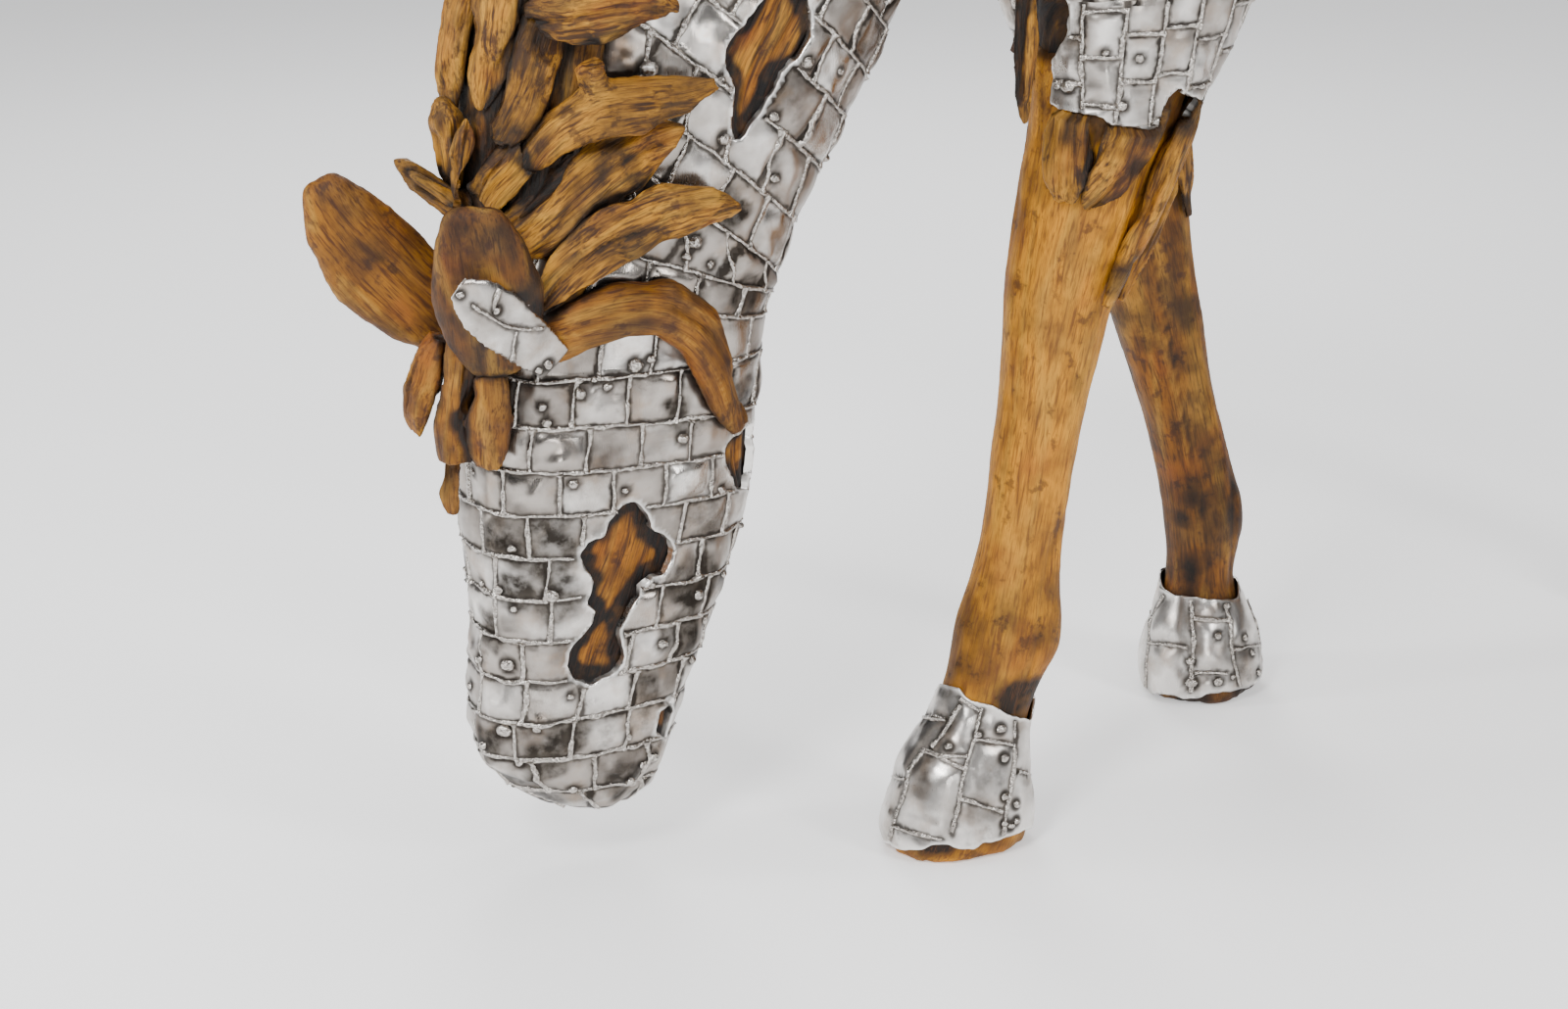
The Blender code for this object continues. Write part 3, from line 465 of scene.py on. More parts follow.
class Plating:
    """A fan of lines seen from the side (x, z at edge a, x, z at edge b), y of the middle, and the
    width of a plate. Lengthwise plating has its long seams along the limb."""

    def __init__(self, lines, middle_y, width, seed, lengthwise=False):
        self.lines = np.array(lines, float)
        self.y = middle_y
        self.width = width
        self.length = width * STRIP_RATIO
        self.seed = seed
        self.lengthwise = lengthwise
        across = self.lines[:, 0:2] - self.lines[:, 2:4]
        self.lean = across / np.linalg.norm(across, axis=1)[:, None]
        self.middle = (self.lines[:, 0:2] + self.lines[:, 2:4]) / 2
        forward = np.gradient(self.middle, axis=0)
        normal = np.stack([self.lean[:, 1], -self.lean[:, 0]], 1)
        self.normal = normal * np.sign((normal * forward).sum(1))[:, None]

    def sides(self, points, index):
        """The distance of each point beyond the line with that index."""
        offset = points[:, (0, 2)] - self.middle[index]
        return (offset * self.normal[index]).sum(1)

    def row_of(self, points):
        """The index of the line before each point: -1 before the first, and the last one after it."""
        row = np.full(len(points), -1)
        for index in range(len(self.lines)):
            beyond = self.sides(points, np.full(len(points), index)) >= 0
            row[beyond & (row == index - 1)] = index
        return row

    def turn_of(self, points, row):
        """The angle of each point round the middle of its row."""
        last = len(self.lines) - 1
        middle = (self.middle[row] + self.middle[np.minimum(row + 1, last)]) / 2
        lean = self.lean[row]
        toward = ((points[:, (0, 2)] - middle) * lean).sum(1)
        return np.arctan2(points[:, 1] - self.y, toward)

    def start(self, place, turn):
        """Where a ray starts on a line, at a fractional index, and which way it leaves at a turn."""
        index = min(int(place), len(self.lines) - 2)
        share = place - index
        middle = self.middle[index] * (1 - share) + self.middle[index + 1] * share
        lean = self.lean[index] * (1 - share) + self.lean[index + 1] * share
        outward = (lean[0] * math.cos(turn), math.sin(turn), lean[1] * math.cos(turn))
        return Vector((middle[0], self.y, middle[1])), Vector(outward)

    def fit(self, tree):
        """Measures each row round the surface, and works out how many plates go round it."""
        arcs = []
        for row in range(len(self.lines) - 1):
            hits = []
            for turn in TURNS:
                start, outward = self.start(row + 0.5, turn)
                hit = tree.ray_cast(start, outward)[0]
                hits.append(hit if hit is not None else (hits[-1] if hits else start + outward * 0.1))
            steps = [0.0] + [(hits[i + 1] - hits[i]).length for i in range(len(hits) - 1)]
            arcs.append(np.cumsum(np.minimum(steps, LONGEST_STEP)))
        self.arcs = np.array(arcs)
        if self.lengthwise:
            self.arcs[:] = self.arcs[len(self.arcs) // 2]
        total = self.arcs[:, -1]
        self.count = np.maximum(np.round(total / self.width), 3).astype(int)
        self.size = total / self.count
        rows = np.arange(len(total))
        jitter = chance(np.stack([rows, rows * 0 + self.seed, rows * 0], 1)) * 0.3
        self.shift = (rows % 2) * 0.5 + jitter

    def along(self, turn, row):
        """How far round its row each turn is."""
        place = (turn - TURNS[0]) / (TURNS[1] - TURNS[0])
        index = np.clip(place.astype(int), 0, len(TURNS) - 2)
        share = place - index
        return self.arcs[row, index] * (1 - share) + self.arcs[row, index + 1] * share

    def strip_length(self, strip):
        """How far the short seams of each lengthwise strip are moved along."""
        cells = np.stack([strip, strip * 0 + self.seed, strip * 0 + 5], 1)
        return (strip % 2) * 0.5 + chance(cells) * 0.4

    def plate_of(self, points):
        """Row and number of the plate that holds each point. On a limb the row is a strip."""
        row = np.clip(self.row_of(points), 0, len(self.lines) - 2)
        turn = self.turn_of(points, row)
        if self.lengthwise:
            strip = np.floor(self.along(turn, row) / self.size[0]).astype(int) % self.count[0]
            number = np.floor(points[:, 2] / self.length + self.strip_length(strip)).astype(int)
            return strip, number
        number = np.floor(self.along(turn, row) / self.size[row] + self.shift[row]).astype(int)
        return row, number % self.count[row]

    def edges(self, points, row, number):
        """The distances from each point to the four edges of its plate."""
        if self.lengthwise:
            band = np.clip(self.row_of(points), 0, len(self.lines) - 2)
            place = self.along(self.turn_of(points, band), band) / self.size[0] - row
            place = place - self.count[0] * np.round((place - 0.5) / self.count[0])
            up = points[:, 2] / self.length + self.strip_length(row) - number
            size = self.size[0]
            before, after = up * self.length, (1 - up) * self.length
        else:
            place = self.along(self.turn_of(points, row), row) / self.size[row] + self.shift[row] - number
            place = place - self.count[row] * np.round((place - 0.5) / self.count[row])
            size = self.size[row]
            before, after = self.sides(points, row), -self.sides(points, row + 1)
        return np.stack([place * size, (1 - place) * size, before, after], 1)

    def turns_at(self, row, distance):
        """The turn at a distance round a row."""
        return float(np.interp(distance, self.arcs[row], TURNS))

    def seams(self, tree, step):
        """Points on the surface along every seam, as lists with a flag for the long ones."""
        lines = []
        last = len(self.lines) - 1
        if self.lengthwise:
            levels = self.lines[:, 1]
            spots = np.linspace(0, last, int(abs(levels[-1] - levels[0]) / step) + 2)
            for strip in range(self.count[0]):
                turn = self.turns_at(0, strip * self.size[0])
                lines.append(([self.cast(tree, spot, turn) for spot in spots], True))
                shift = float(self.strip_length(np.array([strip]))[0])
                first = math.ceil(levels.min() / self.length + shift)
                for number in range(first, math.floor(levels.max() / self.length + shift) + 1):
                    height = (number - shift) * self.length
                    place = float(np.interp(-height, -levels, np.arange(last + 1)))
                    shares = np.linspace(0, 1, int(self.size[0] / step) + 2)
                    turns = [self.turns_at(0, (strip + share) * self.size[0]) for share in shares]
                    lines.append(([self.cast(tree, place, turn) for turn in turns], False))
            return lines
        for row in range(last):
            around = np.linspace(-math.pi, math.pi, int(self.arcs[row, -1] / step) + 2)
            lines.append(([self.cast(tree, row, turn) for turn in around], True))
            for number in range(self.count[row]):
                turn = self.turns_at(row, ((number - self.shift[row]) % self.count[row]) * self.size[row])
                spots = np.linspace(row, row + 1, int(ROW_HEIGHT / step) + 2)
                lines.append(([self.cast(tree, spot, turn) for spot in spots], False))
        return lines

    def cast(self, tree, place, turn):
        start, outward = self.start(place, turn)
        return tree.ray_cast(start, outward)[0]


# %% [markdown]
# ## Where the rows run
#
# On the real horse the rows cross the neck and the face like hoops, and the sheets of the cuffs run
# lengthwise. A few guide lines on the side view hold that, and the rest are spread evenly between them.
# The rump isn't in the photo, and has level rows.

# %% Guide lines of the rows
# Each line: x and z on the crest or face side, x and z on the throat or jaw side.
NECK_GUIDES = (
    (-0.527, 1.480, -0.407, 1.035), (-0.707, 1.370, -0.467, 0.985), (-0.852, 1.220, -0.520, 0.890),
    (-0.970, 1.089, -0.560, 0.757),
)
# The rows of the lower neck and the cheek, as the photo shows them.
CHEEK_LINES = (
    (-0.990, 1.026, -0.600, 0.714), (-0.990, 0.942, -0.630, 0.664), (-1.000, 0.877, -0.670, 0.625),
    (-1.000, 0.736, -0.670, 0.612), (-1.010, 0.658, -0.687, 0.596), (-1.020, 0.567, -0.700, 0.560),
)
HEAD_GUIDES = (
    (-1.007, 0.665, -0.687, 0.630), (-1.025, 0.565, -0.705, 0.540), (-1.035, 0.465, -0.709, 0.450),
    (-1.035, 0.375, -0.721, 0.367), (-1.027, 0.290, -0.752, 0.284), (-1.029, 0.215, -0.782, 0.218),
    (-1.035, 0.160, -0.803, 0.162), (-1.022, 0.118, -0.817, 0.114), (-0.977, 0.083, -0.831, 0.076),
    (-0.922, 0.064, -0.855, 0.058),
)
TRUNK_GUIDES = (
    (-0.527, 1.480, -0.407, 1.035), (-0.380, 1.558, -0.300, 0.950), (-0.137, 1.552, -0.127, 0.942),
    (0.253, 1.490, 0.253, 0.975), (0.593, 1.545, 0.593, 1.060), (0.800, 1.530, 0.800, 1.080),
)
RUMP_EDGE = 0.800
# Limbs: top and bottom heights, and x at the front and the rear of each.
LIMB_GUIDES = {
    "near_foreleg": ((-0.475, 0.960, -0.180, 0.960), (-0.430, 0.740, -0.262, 0.740)),
    "far_foreleg": ((-0.352, 0.960, -0.060, 0.960), (-0.297, 0.740, -0.082, 0.740)),
    "left_hind_leg": ((0.470, 1.080, 0.975, 1.080), (0.598, 0.740, 0.863, 0.740)),
    "right_hind_leg": ((0.460, 1.080, 0.960, 1.080), (0.573, 0.740, 0.838, 0.740)),
}
LIMB_MIDDLE = {"near_foreleg": -0.147, "far_foreleg": 0.147, "left_hind_leg": -0.14, "right_hind_leg": 0.14}
LIMB_TOP = {"near_foreleg": 0.935, "far_foreleg": 0.935, "left_hind_leg": 1.045, "right_hind_leg": 1.045}
HEAD_PLATE = 0.060
TRUNK_PLATE = 0.066
LIMB_PLATE = 0.040
RUMP_MIDDLE = 0.70


def lines_between(guides, count):
    """Evenly spread lines between a few guide lines."""
    guides = np.array(guides, float)
    middles = (guides[:, 0:2] + guides[:, 2:4]) / 2
    gaps = np.linalg.norm(np.diff(middles, axis=0), axis=1)
    lengths = np.concatenate([[0.0], np.cumsum(gaps)])
    wanted = np.linspace(0, 1, count) * lengths[-1]
    return np.stack([np.interp(wanted, lengths, guides[:, column]) for column in range(4)], 1)


neck_lines = lines_between(NECK_GUIDES, 9)
head_lines = lines_between(HEAD_GUIDES, 14)[3:]
rump_lines = [(0.60, z, 1.05, z) for z in np.arange(1.56, 0.99, -0.055)]
PLATINGS = {
    "neck": Plating(np.concatenate([neck_lines, CHEEK_LINES, head_lines]), 0.0, HEAD_PLATE, 1),
    "trunk": Plating(lines_between(TRUNK_GUIDES, 22), 0.0, TRUNK_PLATE, 2),
    "rump": Plating(rump_lines, 0.0, TRUNK_PLATE, 3),
}
PLATINGS["rump"].middle[:, 0] = RUMP_MIDDLE
for key, guides in LIMB_GUIDES.items():
    PLATINGS[key] = Plating(lines_between(guides, 8), LIMB_MIDDLE[key], LIMB_PLATE, 4, lengthwise=True)
ZONES = list(PLATINGS)
print("plating zones:", ZONES)


def zone_of(points):
    """The number of the plating zone that holds each point."""
    zone = np.full(len(points), ZONES.index("trunk"))
    x, y, z = points.T
    zone[x > RUMP_EDGE] = ZONES.index("rump")
    start = PLATINGS["neck"].sides(points, np.zeros(len(points), int))
    zone[start > 0] = ZONES.index("neck")
    for key, top in LIMB_TOP.items():
        fore = "fore" in key
        own_side = (y < 0) == (LIMB_MIDDLE[key] < 0)
        ahead = (x > -0.56) & (x < 0.2) if fore else x > 0.35
        zone[own_side & ahead & (z < top)] = ZONES.index(key)
    return zone


# %% [markdown]
# ## The steel skin
#
# The body solid, its windows' wood and the tops of the legs are joined first, so that the skin is whole
# before it is torn. The joined form is then measured, so that each row gets a whole number of plates.

# %% Smooth form of the body
LEGS = list(LIMB_GUIDES)
WINDOWS = sorted(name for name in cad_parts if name.endswith("_window_wood"))
SKINNED_ABOVE = 0.70
BODY_VOXEL = 0.020

body_shape = joined(["steel_clad_body", *WINDOWS])
for leg in LEGS:
    top = joined([leg], above=SKINNED_ABOVE)
    loose = bpy.data.meshes.new("leg_top")
    top.to_mesh(loose)
    top.free()
    body_shape.from_mesh(loose)
skin = smooth_form("steel_skin", body_shape, BODY_VOXEL, 5, 1)
steel_tree = BVHTree.FromBMesh(joined(["steel_clad_body", *WINDOWS]))
whole_skin = surface_of(skin)
for plating in PLATINGS.values():
    plating.fit(whole_skin)
print("skin points:", len(skin.data.vertices))

# %% [markdown]
# ## Windows and torn edges
#
# The real sheets end in ragged tears, so no edge is straight. Each window is an outline laid flat on its
# own plane, and each cuff ends at a height that changes round the limb. What the photo shows is traced
# from it, and the rest follows the solids. A small noise makes both edges ragged. The result is one
# number for every point: how far inside the sheet it is, below zero where the sheet is gone.

# %% Traced tears
WINDOW_TRACES = {
    "face_window_wood": (
        (647, 513), (656, 517), (663, 529), (666, 541), (679, 547), (687, 558), (685, 572), (678, 583),
        (663, 592), (654, 602), (646, 614), (637, 629), (632, 643), (634, 658), (635, 676), (632, 687),
        (618, 693), (600, 699), (586, 693), (578, 680), (582, 661), (594, 648), (603, 638), (607, 623),
        (600, 616), (602, 602), (604, 592), (597, 579), (593, 566), (599, 552), (612, 547), (621, 532),
        (630, 519), (640, 512),
    ),
    "jaw_window_wood": (
        (780, 426), (756, 438), (741, 453), (736, 470), (744, 488), (750, 500), (762, 499), (780, 492),
    ),
    "muzzle_window_wood": (
        (685, 711), (687, 723), (684, 737), (678, 752), (669, 748), (666, 740), (670, 726), (679, 714),
    ),
    "neck_window_wood": (
        (776, 0), (770, 8), (763, 17), (757, 25), (750, 29), (745, 36), (738, 45), (737, 57), (738, 69),
        (744, 75), (749, 79), (750, 90), (749, 101), (747, 112), (745, 123), (748, 132), (752, 142),
        (758, 139), (764, 130), (771, 122), (776, 116), (783, 101), (790, 88), (796, 75), (806, 67),
        (815, 61), (822, 48), (827, 38), (826, 31), (828, 21), (828, 13), (822, 3), (816, -20),
        (802, -38), (788, -30), (779, -12),
    ),
    "near_forearm_gap": (
        (1095, 0), (1093, 16), (1090, 39), (1082, 50), (1077, 63), (1074, 82), (1073, 118), (1050, 118),
        (1047, 60), (1050, 0), (1064, -60), (1090, -60),
    ),
}
CUFF_TRACES = {
    "near_foreleg": (
        (1040, -40), (1050, 0), (1056, 60), (1062, 104), (1074, 106), (1083, 110), (1093, 113),
        (1106, 117), (1117, 116), (1128, 119), (1132, 126), (1151, 129), (1177, 131), (1182, 126),
        (1185, 115), (1189, 102), (1198, 89), (1208, 95), (1219, 101), (1224, 99),
    ),
}


# %% Window outlines
# What is further than this inside the sheet counts as this far inside it.
WELL_INSIDE = 0.1
WINDOW_DEPTH = 0.05
WINDOW_MARGIN = 0.03


def solid_rim(name):
    """The corners round the outer face of a window's solid, in order."""
    shape = joined([name])
    corners = np.array([vertex.co for vertex in shape.verts])
    middle = corners.mean(0)
    out = np.linalg.svd(corners - middle, full_matrices=False)[2][2]
    out = out * np.sign(out[1] * middle[1])
    top = {face for face in shape.faces if np.dot(face.normal, out) > 0.5}
    rim = [edge for edge in shape.edges if sum(face in top for face in edge.link_faces) == 1]
    ends = {}
    for edge in rim:
        for here, there in (edge.verts, tuple(reversed(edge.verts))):
            ends.setdefault(here, []).append(there)
    path = [rim[0].verts[0]]
    before = None
    while len(path) <= len(ends):
        following = [vertex for vertex in ends[path[-1]] if vertex is not before]
        before = path[-1]
        if following[0] is path[0]:
            break
        path.append(following[0])
    places = [vertex.co.copy() for vertex in path]
    shape.free()
    return places


def flat_outline(corners):
    """An outline laid flat on the plane that fits it best: middle, three axes and flat corners."""
    corners = np.array(corners)
    middle = corners.mean(0)
    axes = np.linalg.svd(corners - middle, full_matrices=False)[2]
    out = axes[2] * np.sign(axes[2][1] * middle[1])
    return middle, axes[0], axes[1], out, (corners - middle) @ axes[:2].T


def outside_by(outline, points):
    """The distance of each point from a window's edge: below zero inside the window."""
    middle, first, second, out, corners = outline
    found = np.full(len(points), WELL_INSIDE)
    offset = points - middle
    reach = np.linalg.norm(corners, axis=1).max() + 2 * WINDOW_MARGIN
    near = (np.abs(offset @ out) < WINDOW_DEPTH) & (np.linalg.norm(offset, axis=1) < reach)
    flat = np.stack([offset[near] @ first, offset[near] @ second], 1)
    distance = np.full(len(flat), 9.0)
    crossings = np.zeros(len(flat), int)
    for start, end in zip(corners, np.roll(corners, -1, axis=0)):
        edge = end - start
        share = np.clip(((flat - start) @ edge) / (edge @ edge), 0, 1)
        distance = np.minimum(distance, np.linalg.norm(flat - start - share[:, None] * edge, axis=1))
        spans = (start[1] > flat[:, 1]) != (end[1] > flat[:, 1])
        height = np.where(edge[1] == 0, 1.0, edge[1])
        crossings += spans & (flat[:, 0] < start[0] + edge[0] * (flat[:, 1] - start[1]) / height)
    found[near] = np.where(crossings % 2 == 1, -distance, distance)
    return found


# %% Cuff edges and the distance to every tear
RIM_LIFT = -0.010
CUFFS_BELOW = 0.95
CUFF_REACH = 0.25
# The whole head lies in front of this x.
HEAD_END = -0.6


def rim_heights(leg):
    """The height at which the cuff ends at each turn round a leg."""
    places = np.array([vertex.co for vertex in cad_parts["steel_clad_body"].data.vertices])
    guides = LIMB_GUIDES[leg]
    middle_x = (guides[1][0] + guides[1][2]) / 2
    middle_y = LIMB_MIDDLE[leg]
    offset = places - (middle_x, middle_y, 0)
    near = (np.hypot(offset[:, 0], offset[:, 1]) < 0.2) & (places[:, 2] < 0.85)
    turns = turn_from_camera(places[near], middle_x, middle_y)
    heights = places[near, 2]
    coarse = np.radians(np.arange(-180, 181, 15))
    found = []
    for spot in coarse:
        gap = np.abs((turns - spot + math.pi) % (2 * math.pi) - math.pi)
        close = heights[gap < math.radians(24)]
        found.append(close.min() if len(close) else heights.min())
    spots = np.radians(np.arange(-180, 181, 2))
    rims = np.interp(spots, coarse, found) + RIM_LIFT
    if leg in CUFF_TRACES:
        ends = np.array(trace(whole_skin, CUFF_TRACES[leg]))
        turn = turn_from_camera(ends, middle_x, middle_y)
        order = np.argsort(turn)
        seen = (spots > turn.min()) & (spots < turn.max())
        rims[seen] = np.interp(spots[seen], turn[order], ends[order, 2])
    return middle_x, middle_y, spots, rims


OUTLINES = {name: flat_outline(solid_rim(name)) for name in WINDOWS if name not in WINDOW_TRACES}
for name, pixels in WINDOW_TRACES.items():
    OUTLINES[name] = flat_outline(trace(whole_skin, pixels))
RIMS = {leg: rim_heights(leg) for leg in LEGS}


def torn(points):
    """How far inside the steel each point is: below zero where the sheet is torn away."""
    inside = np.full(len(points), WELL_INSIDE)
    for outline in OUTLINES.values():
        inside = np.minimum(inside, outside_by(outline, points))
    low = (points[:, 2] < CUFFS_BELOW) & (points[:, 0] > HEAD_END)
    below = points[low]
    height = np.full(len(below), WELL_INSIDE)
    for middle_x, middle_y, spots, rims in RIMS.values():
        offset_x, offset_y = below[:, 0] - middle_x, below[:, 1] - middle_y
        close = (np.hypot(offset_x, offset_y) < CUFF_REACH) & ((middle_y < 0) == (below[:, 1] < 0))
        rim = np.interp(turn_from_camera(below, middle_x, middle_y), spots, rims)
        height = np.where(close, np.minimum(height, below[:, 2] - rim), height)
    inside[low] = np.minimum(inside[low], height)
    ragged = 0.0022 * drift(points, 0.011, 3) + 0.0014 * drift(points, 0.005, 4)
    return np.where(inside < 0.02, inside + ragged, inside)


print("windows:", len(OUTLINES), "cuffs:", len(RIMS))

# %% [markdown]
# ## Zones, plates and tears as numbers
#
# A boolean cut would leave a clean edge, and torn sheet has none. Every point already has a number that
# is below zero where the sheet is gone, so the mesh is split where that number is zero. In the same way
# each point learns its zone, its plate and how far it is from that plate's four edges.


# %% Cutting along a number's zero
def cut_at_zero(shape, values):
    """Splits the edges that cross zero, joins the cuts and deletes what is below zero."""
    for edge in list(shape.edges):
        first, second = edge.verts
        low, high = values[first], values[second]
        if (low < 0) != (high < 0):
            share = min(max(low / (low - high), 0.02), 0.98)
            _, middle = bmesh.utils.edge_split(edge, first, share)
            values[middle] = 0.0
    fresh = [vertex for vertex in shape.verts if values[vertex] == 0.0]
    bmesh.ops.connect_verts(shape, verts=fresh)
    gone = [face for face in shape.faces if sum(values[vertex] for vertex in face.verts) < 0]
    bmesh.ops.delete(shape, geom=gone, context="FACES")


# %% Zones and plates
# The distance that is given where no seam is near.
NO_SEAM = 0.03


def zone_part(name, keys, levels):
    """The faces of some zones of the whole skin as a piece of their own, more finely divided."""
    shape = shape_of(skin.data)
    middles = np.array([face.calc_center_median() for face in shape.faces])
    wanted = np.isin(zone_of(middles), [ZONES.index(key) for key in keys])
    gone = [face for face, stays in zip(shape.faces, wanted) if not stays]
    bmesh.ops.delete(shape, geom=gone, context="FACES")
    return baked(divided(to_object(name, shape), levels))


def plate_facts(points):
    """Zone, row and number of the plate that holds each point."""
    zone = zone_of(points)
    row = np.zeros(len(points), int)
    number = np.zeros(len(points), int)
    for index, key in enumerate(ZONES):
        here = zone == index
        if here.any():
            row[here], number[here] = PLATINGS[key].plate_of(points[here])
    return zone, row, number


def plate_edges(points, zone, row, number):
    """The distances to the four edges of the given plates."""
    edges = np.full((len(points), 4), NO_SEAM)
    for index, key in enumerate(ZONES):
        here = zone == index
        if here.any():
            edges[here] = PLATINGS[key].edges(points[here], row[here], number[here])
    return edges


def soft_step(values, low, high):
    """0 below the low value, 1 above the high one, and a soft rise between them."""
    share = np.clip((values - low) / (high - low), 0, 1)
    return share * share * (3 - 2 * share)


def luck_of(cells):
    """Three chance numbers for each plate: its tone, its gloss and how beaten it is."""
    return np.stack([chance(cells + 11), chance(cells + 23), chance(cells + 31)], 1)


# %% [markdown]
# ## Beating the plates
#
# Each real plate is a shallow pillow, a little askew, with dents and here and there a sharp fold. A
# texture could fake that, but the steel's reflections and outline would give it away. So the points are
# moved along their normals, and the folds that the photo shows are traced.

# %% Beaten plates
PILLOW = 0.0026
TILT = 0.0034
HALF_PLATE = 0.03
DENT = 0.0022
CRUMPLE = 0.0048
FOLD_WIDTH = 0.010
LIP_RISE = 0.0013
# Folds across the plates of the face and muzzle: two pixels and a height in metres.
FOLDS = (
    ((540, 728), (640, 792), 0.0050), ((548, 735), (572, 768), 0.0030), ((598, 398), (655, 385), 0.0035),
    ((548, 392), (600, 405), 0.0030), ((472, 668), (520, 650), 0.0030), ((640, 775), (662, 742), 0.0030),
    ((500, 775), (560, 800), 0.0035), ((545, 508), (570, 470), 0.0025),
)


def beat(piece):
    """Raises each plate like a shallow pillow, tilts it, dents it and folds it."""
    points, normals = points_of(piece), normals_of(piece)
    zone, row, number = plate_facts(points)
    edges = plate_edges(points, zone, row, number)
    near = np.abs(edges).min(1)
    cells = np.stack([row, number, zone], 1).astype(float)
    lean = (chance(cells) - 0.5) * (edges[:, 0] - edges[:, 1])
    lean = lean + (chance(cells + 7) - 0.5) * (edges[:, 2] - edges[:, 3])
    spans = np.maximum(edges[:, (0, 2)] + edges[:, (1, 3)], 0.02)
    shares = np.clip(edges[:, (0, 2)] / spans, 0, 1)
    crown = np.prod(4 * shares * (1 - shares), axis=1) ** 0.7
    rise = PILLOW * (0.3 + 1.2 * chance(cells + 3)) * crown
    rise += TILT * lean / HALF_PLATE * soft_step(near, 0, 0.006)
    rise += DENT * drift(points, 0.034, 1) + 0.4 * DENT * drift(points, 0.014, 2)
    crumpled = np.where(chance(cells + 41) > 0.55, 1.0, 0.1) * soft_step(near, 0, 0.010)
    # The muzzle is crumpled all over.
    crumpled = np.maximum(crumpled, soft_step(-points[:, 2], -0.30, -0.22) * (points[:, 0] < HEAD_END))
    rise += CRUMPLE * crumpled * np.maximum(ridges(points, 0.042, 5) - 0.40, 0)
    if piece.name.startswith("head"):
        for first, second, height in FOLDS:
            away = gap_to(trace_line(whole_skin, (first, second)), points)
            rise += height * np.maximum(1 - away / FOLD_WIDTH, 0)
    rise += LIP_RISE * (1 - soft_step(torn(points), 0, 0.005))
    move_points(piece, points + normals * rise[:, None])


# %% Torn sheet
SHEET = 0.003
TURNED_IN = 0.006


def tear_skin(piece):
    """Cuts the tears out of a piece of skin and turns their edges in, as a sheet of real thickness."""
    values = torn(points_of(piece))
    shape = shape_of(piece.data)
    shape.verts.ensure_lookup_table()
    held = {vertex: value for vertex, value in zip(shape.verts, values)}
    border = {edge for edge in shape.edges if edge.is_boundary}
    cut_at_zero(shape, held)
    torn_edges = [edge for edge in shape.edges if edge.is_boundary and edge not in border]
    torn_edges = [edge for edge in torn_edges if all(held[vertex] == 0.0 for vertex in edge.verts)]
    ways = {vertex: vertex.normal.copy() for edge in torn_edges for vertex in edge.verts}
    for depth in (SHEET, TURNED_IN):
        made = bmesh.ops.extrude_edge_only(shape, edges=torn_edges)
        fresh = [item for item in made["geom"] if isinstance(item, bmesh.types.BMVert)]
        inward = {}
        for vertex in fresh:
            for edge in vertex.link_edges:
                other = edge.other_vert(vertex)
                if other in ways:
                    inward[vertex] = ways[other]
        for vertex in fresh:
            way = inward.get(vertex, Vector((0, 0, 0)))
            vertex.co -= way * depth
        ways = inward
        torn_edges = [item for item in made["geom"] if isinstance(item, bmesh.types.BMEdge)
                      and item.is_boundary]
    shape.to_mesh(piece.data)
    shape.free()
    piece.data.update()


# %% What the steel's material needs to know
# Sooty and heat-browned places on the face, and places where it folds or turns down and gets painted shade:
# two pixels and a reach in millimetres.
SMOKE_AND_SHADE_TRACES = (
    (545, 558, 46), (474, 585, 26), (567, 612, 30), (707, 595, 36), (697, 640, 30), (580, 750, 24),
    (554, 779, 30), (530, 806, 55), (632, 796, 28), (757, 403, 26), (690, 418, 22), (500, 640, 24),
    (498, 757, 28), (660, 700, 20), (745, 215, 26), (760, 300, 24), (528, 602, 28), (506, 552, 26),
)


def write_plates(piece):
    """Stores what the steel's material needs: distances to the seams, chance per plate, a painted highlight
    along the torn rims, and smoke with painted shade.
    """
    zone, row, number = plate_facts(middles_of(piece))
    faces, corners = corners_of(piece)
    edges = plate_edges(corners, zone[faces], row[faces], number[faces])
    write_values(piece, "plate_edges", "FLOAT_COLOR", "CORNER", edges)
    luck = luck_of(np.stack([row, number, zone], 1).astype(float))
    # The plates of the near cuff are all pale.
    luck[zone == ZONES.index("near_foreleg"), 0] *= 0.3
    write_values(piece, "plate_chance", "FLOAT_VECTOR", "FACE", luck)
    points = points_of(piece)
    # Painted highlight along the torn rims of the sheet.
    write_values(piece, "torn_rim_highlight", "FLOAT", "POINT", 1 - soft_step(torn(points), 0.0004, 0.0038))
    cloud = drift(points, 0.080, 21) + 0.5 * drift(points, 0.030, 22)
    smoke_and_shade = 0.5 * soft_step(cloud, 0.35, 0.95)
    if piece.name.startswith("head"):
        # The cloud is faint on the side that the photo shows, where the smoke and the painted shade of folds
        # and downturned plates are traced instead.
        smoke_and_shade *= np.where(points[:, 1] < 0, 0.3, 1.0)
        spots = trace(whole_skin, [mark[:2] for mark in SMOKE_AND_SHADE_TRACES])
        for spot, (_, _, reach) in zip(spots, SMOKE_AND_SHADE_TRACES):
            away = np.linalg.norm(points - np.array(spot), axis=1) + 0.010 * drift(points, 0.016, 25)
            smoke_and_shade = np.maximum(smoke_and_shade, 1 - soft_step(away, 0.0007 * reach, 0.0012 * reach))
    write_values(piece, "smoke_and_shade", "FLOAT", "POINT", smoke_and_shade)


# %% [markdown]
# ## Pieces of the skin
#
# One skin for the whole horse would be too heavy, so it is parted where the direction of the rows
# changes. Each part is divided as finely as it shows, then beaten, torn and given its plates' facts.

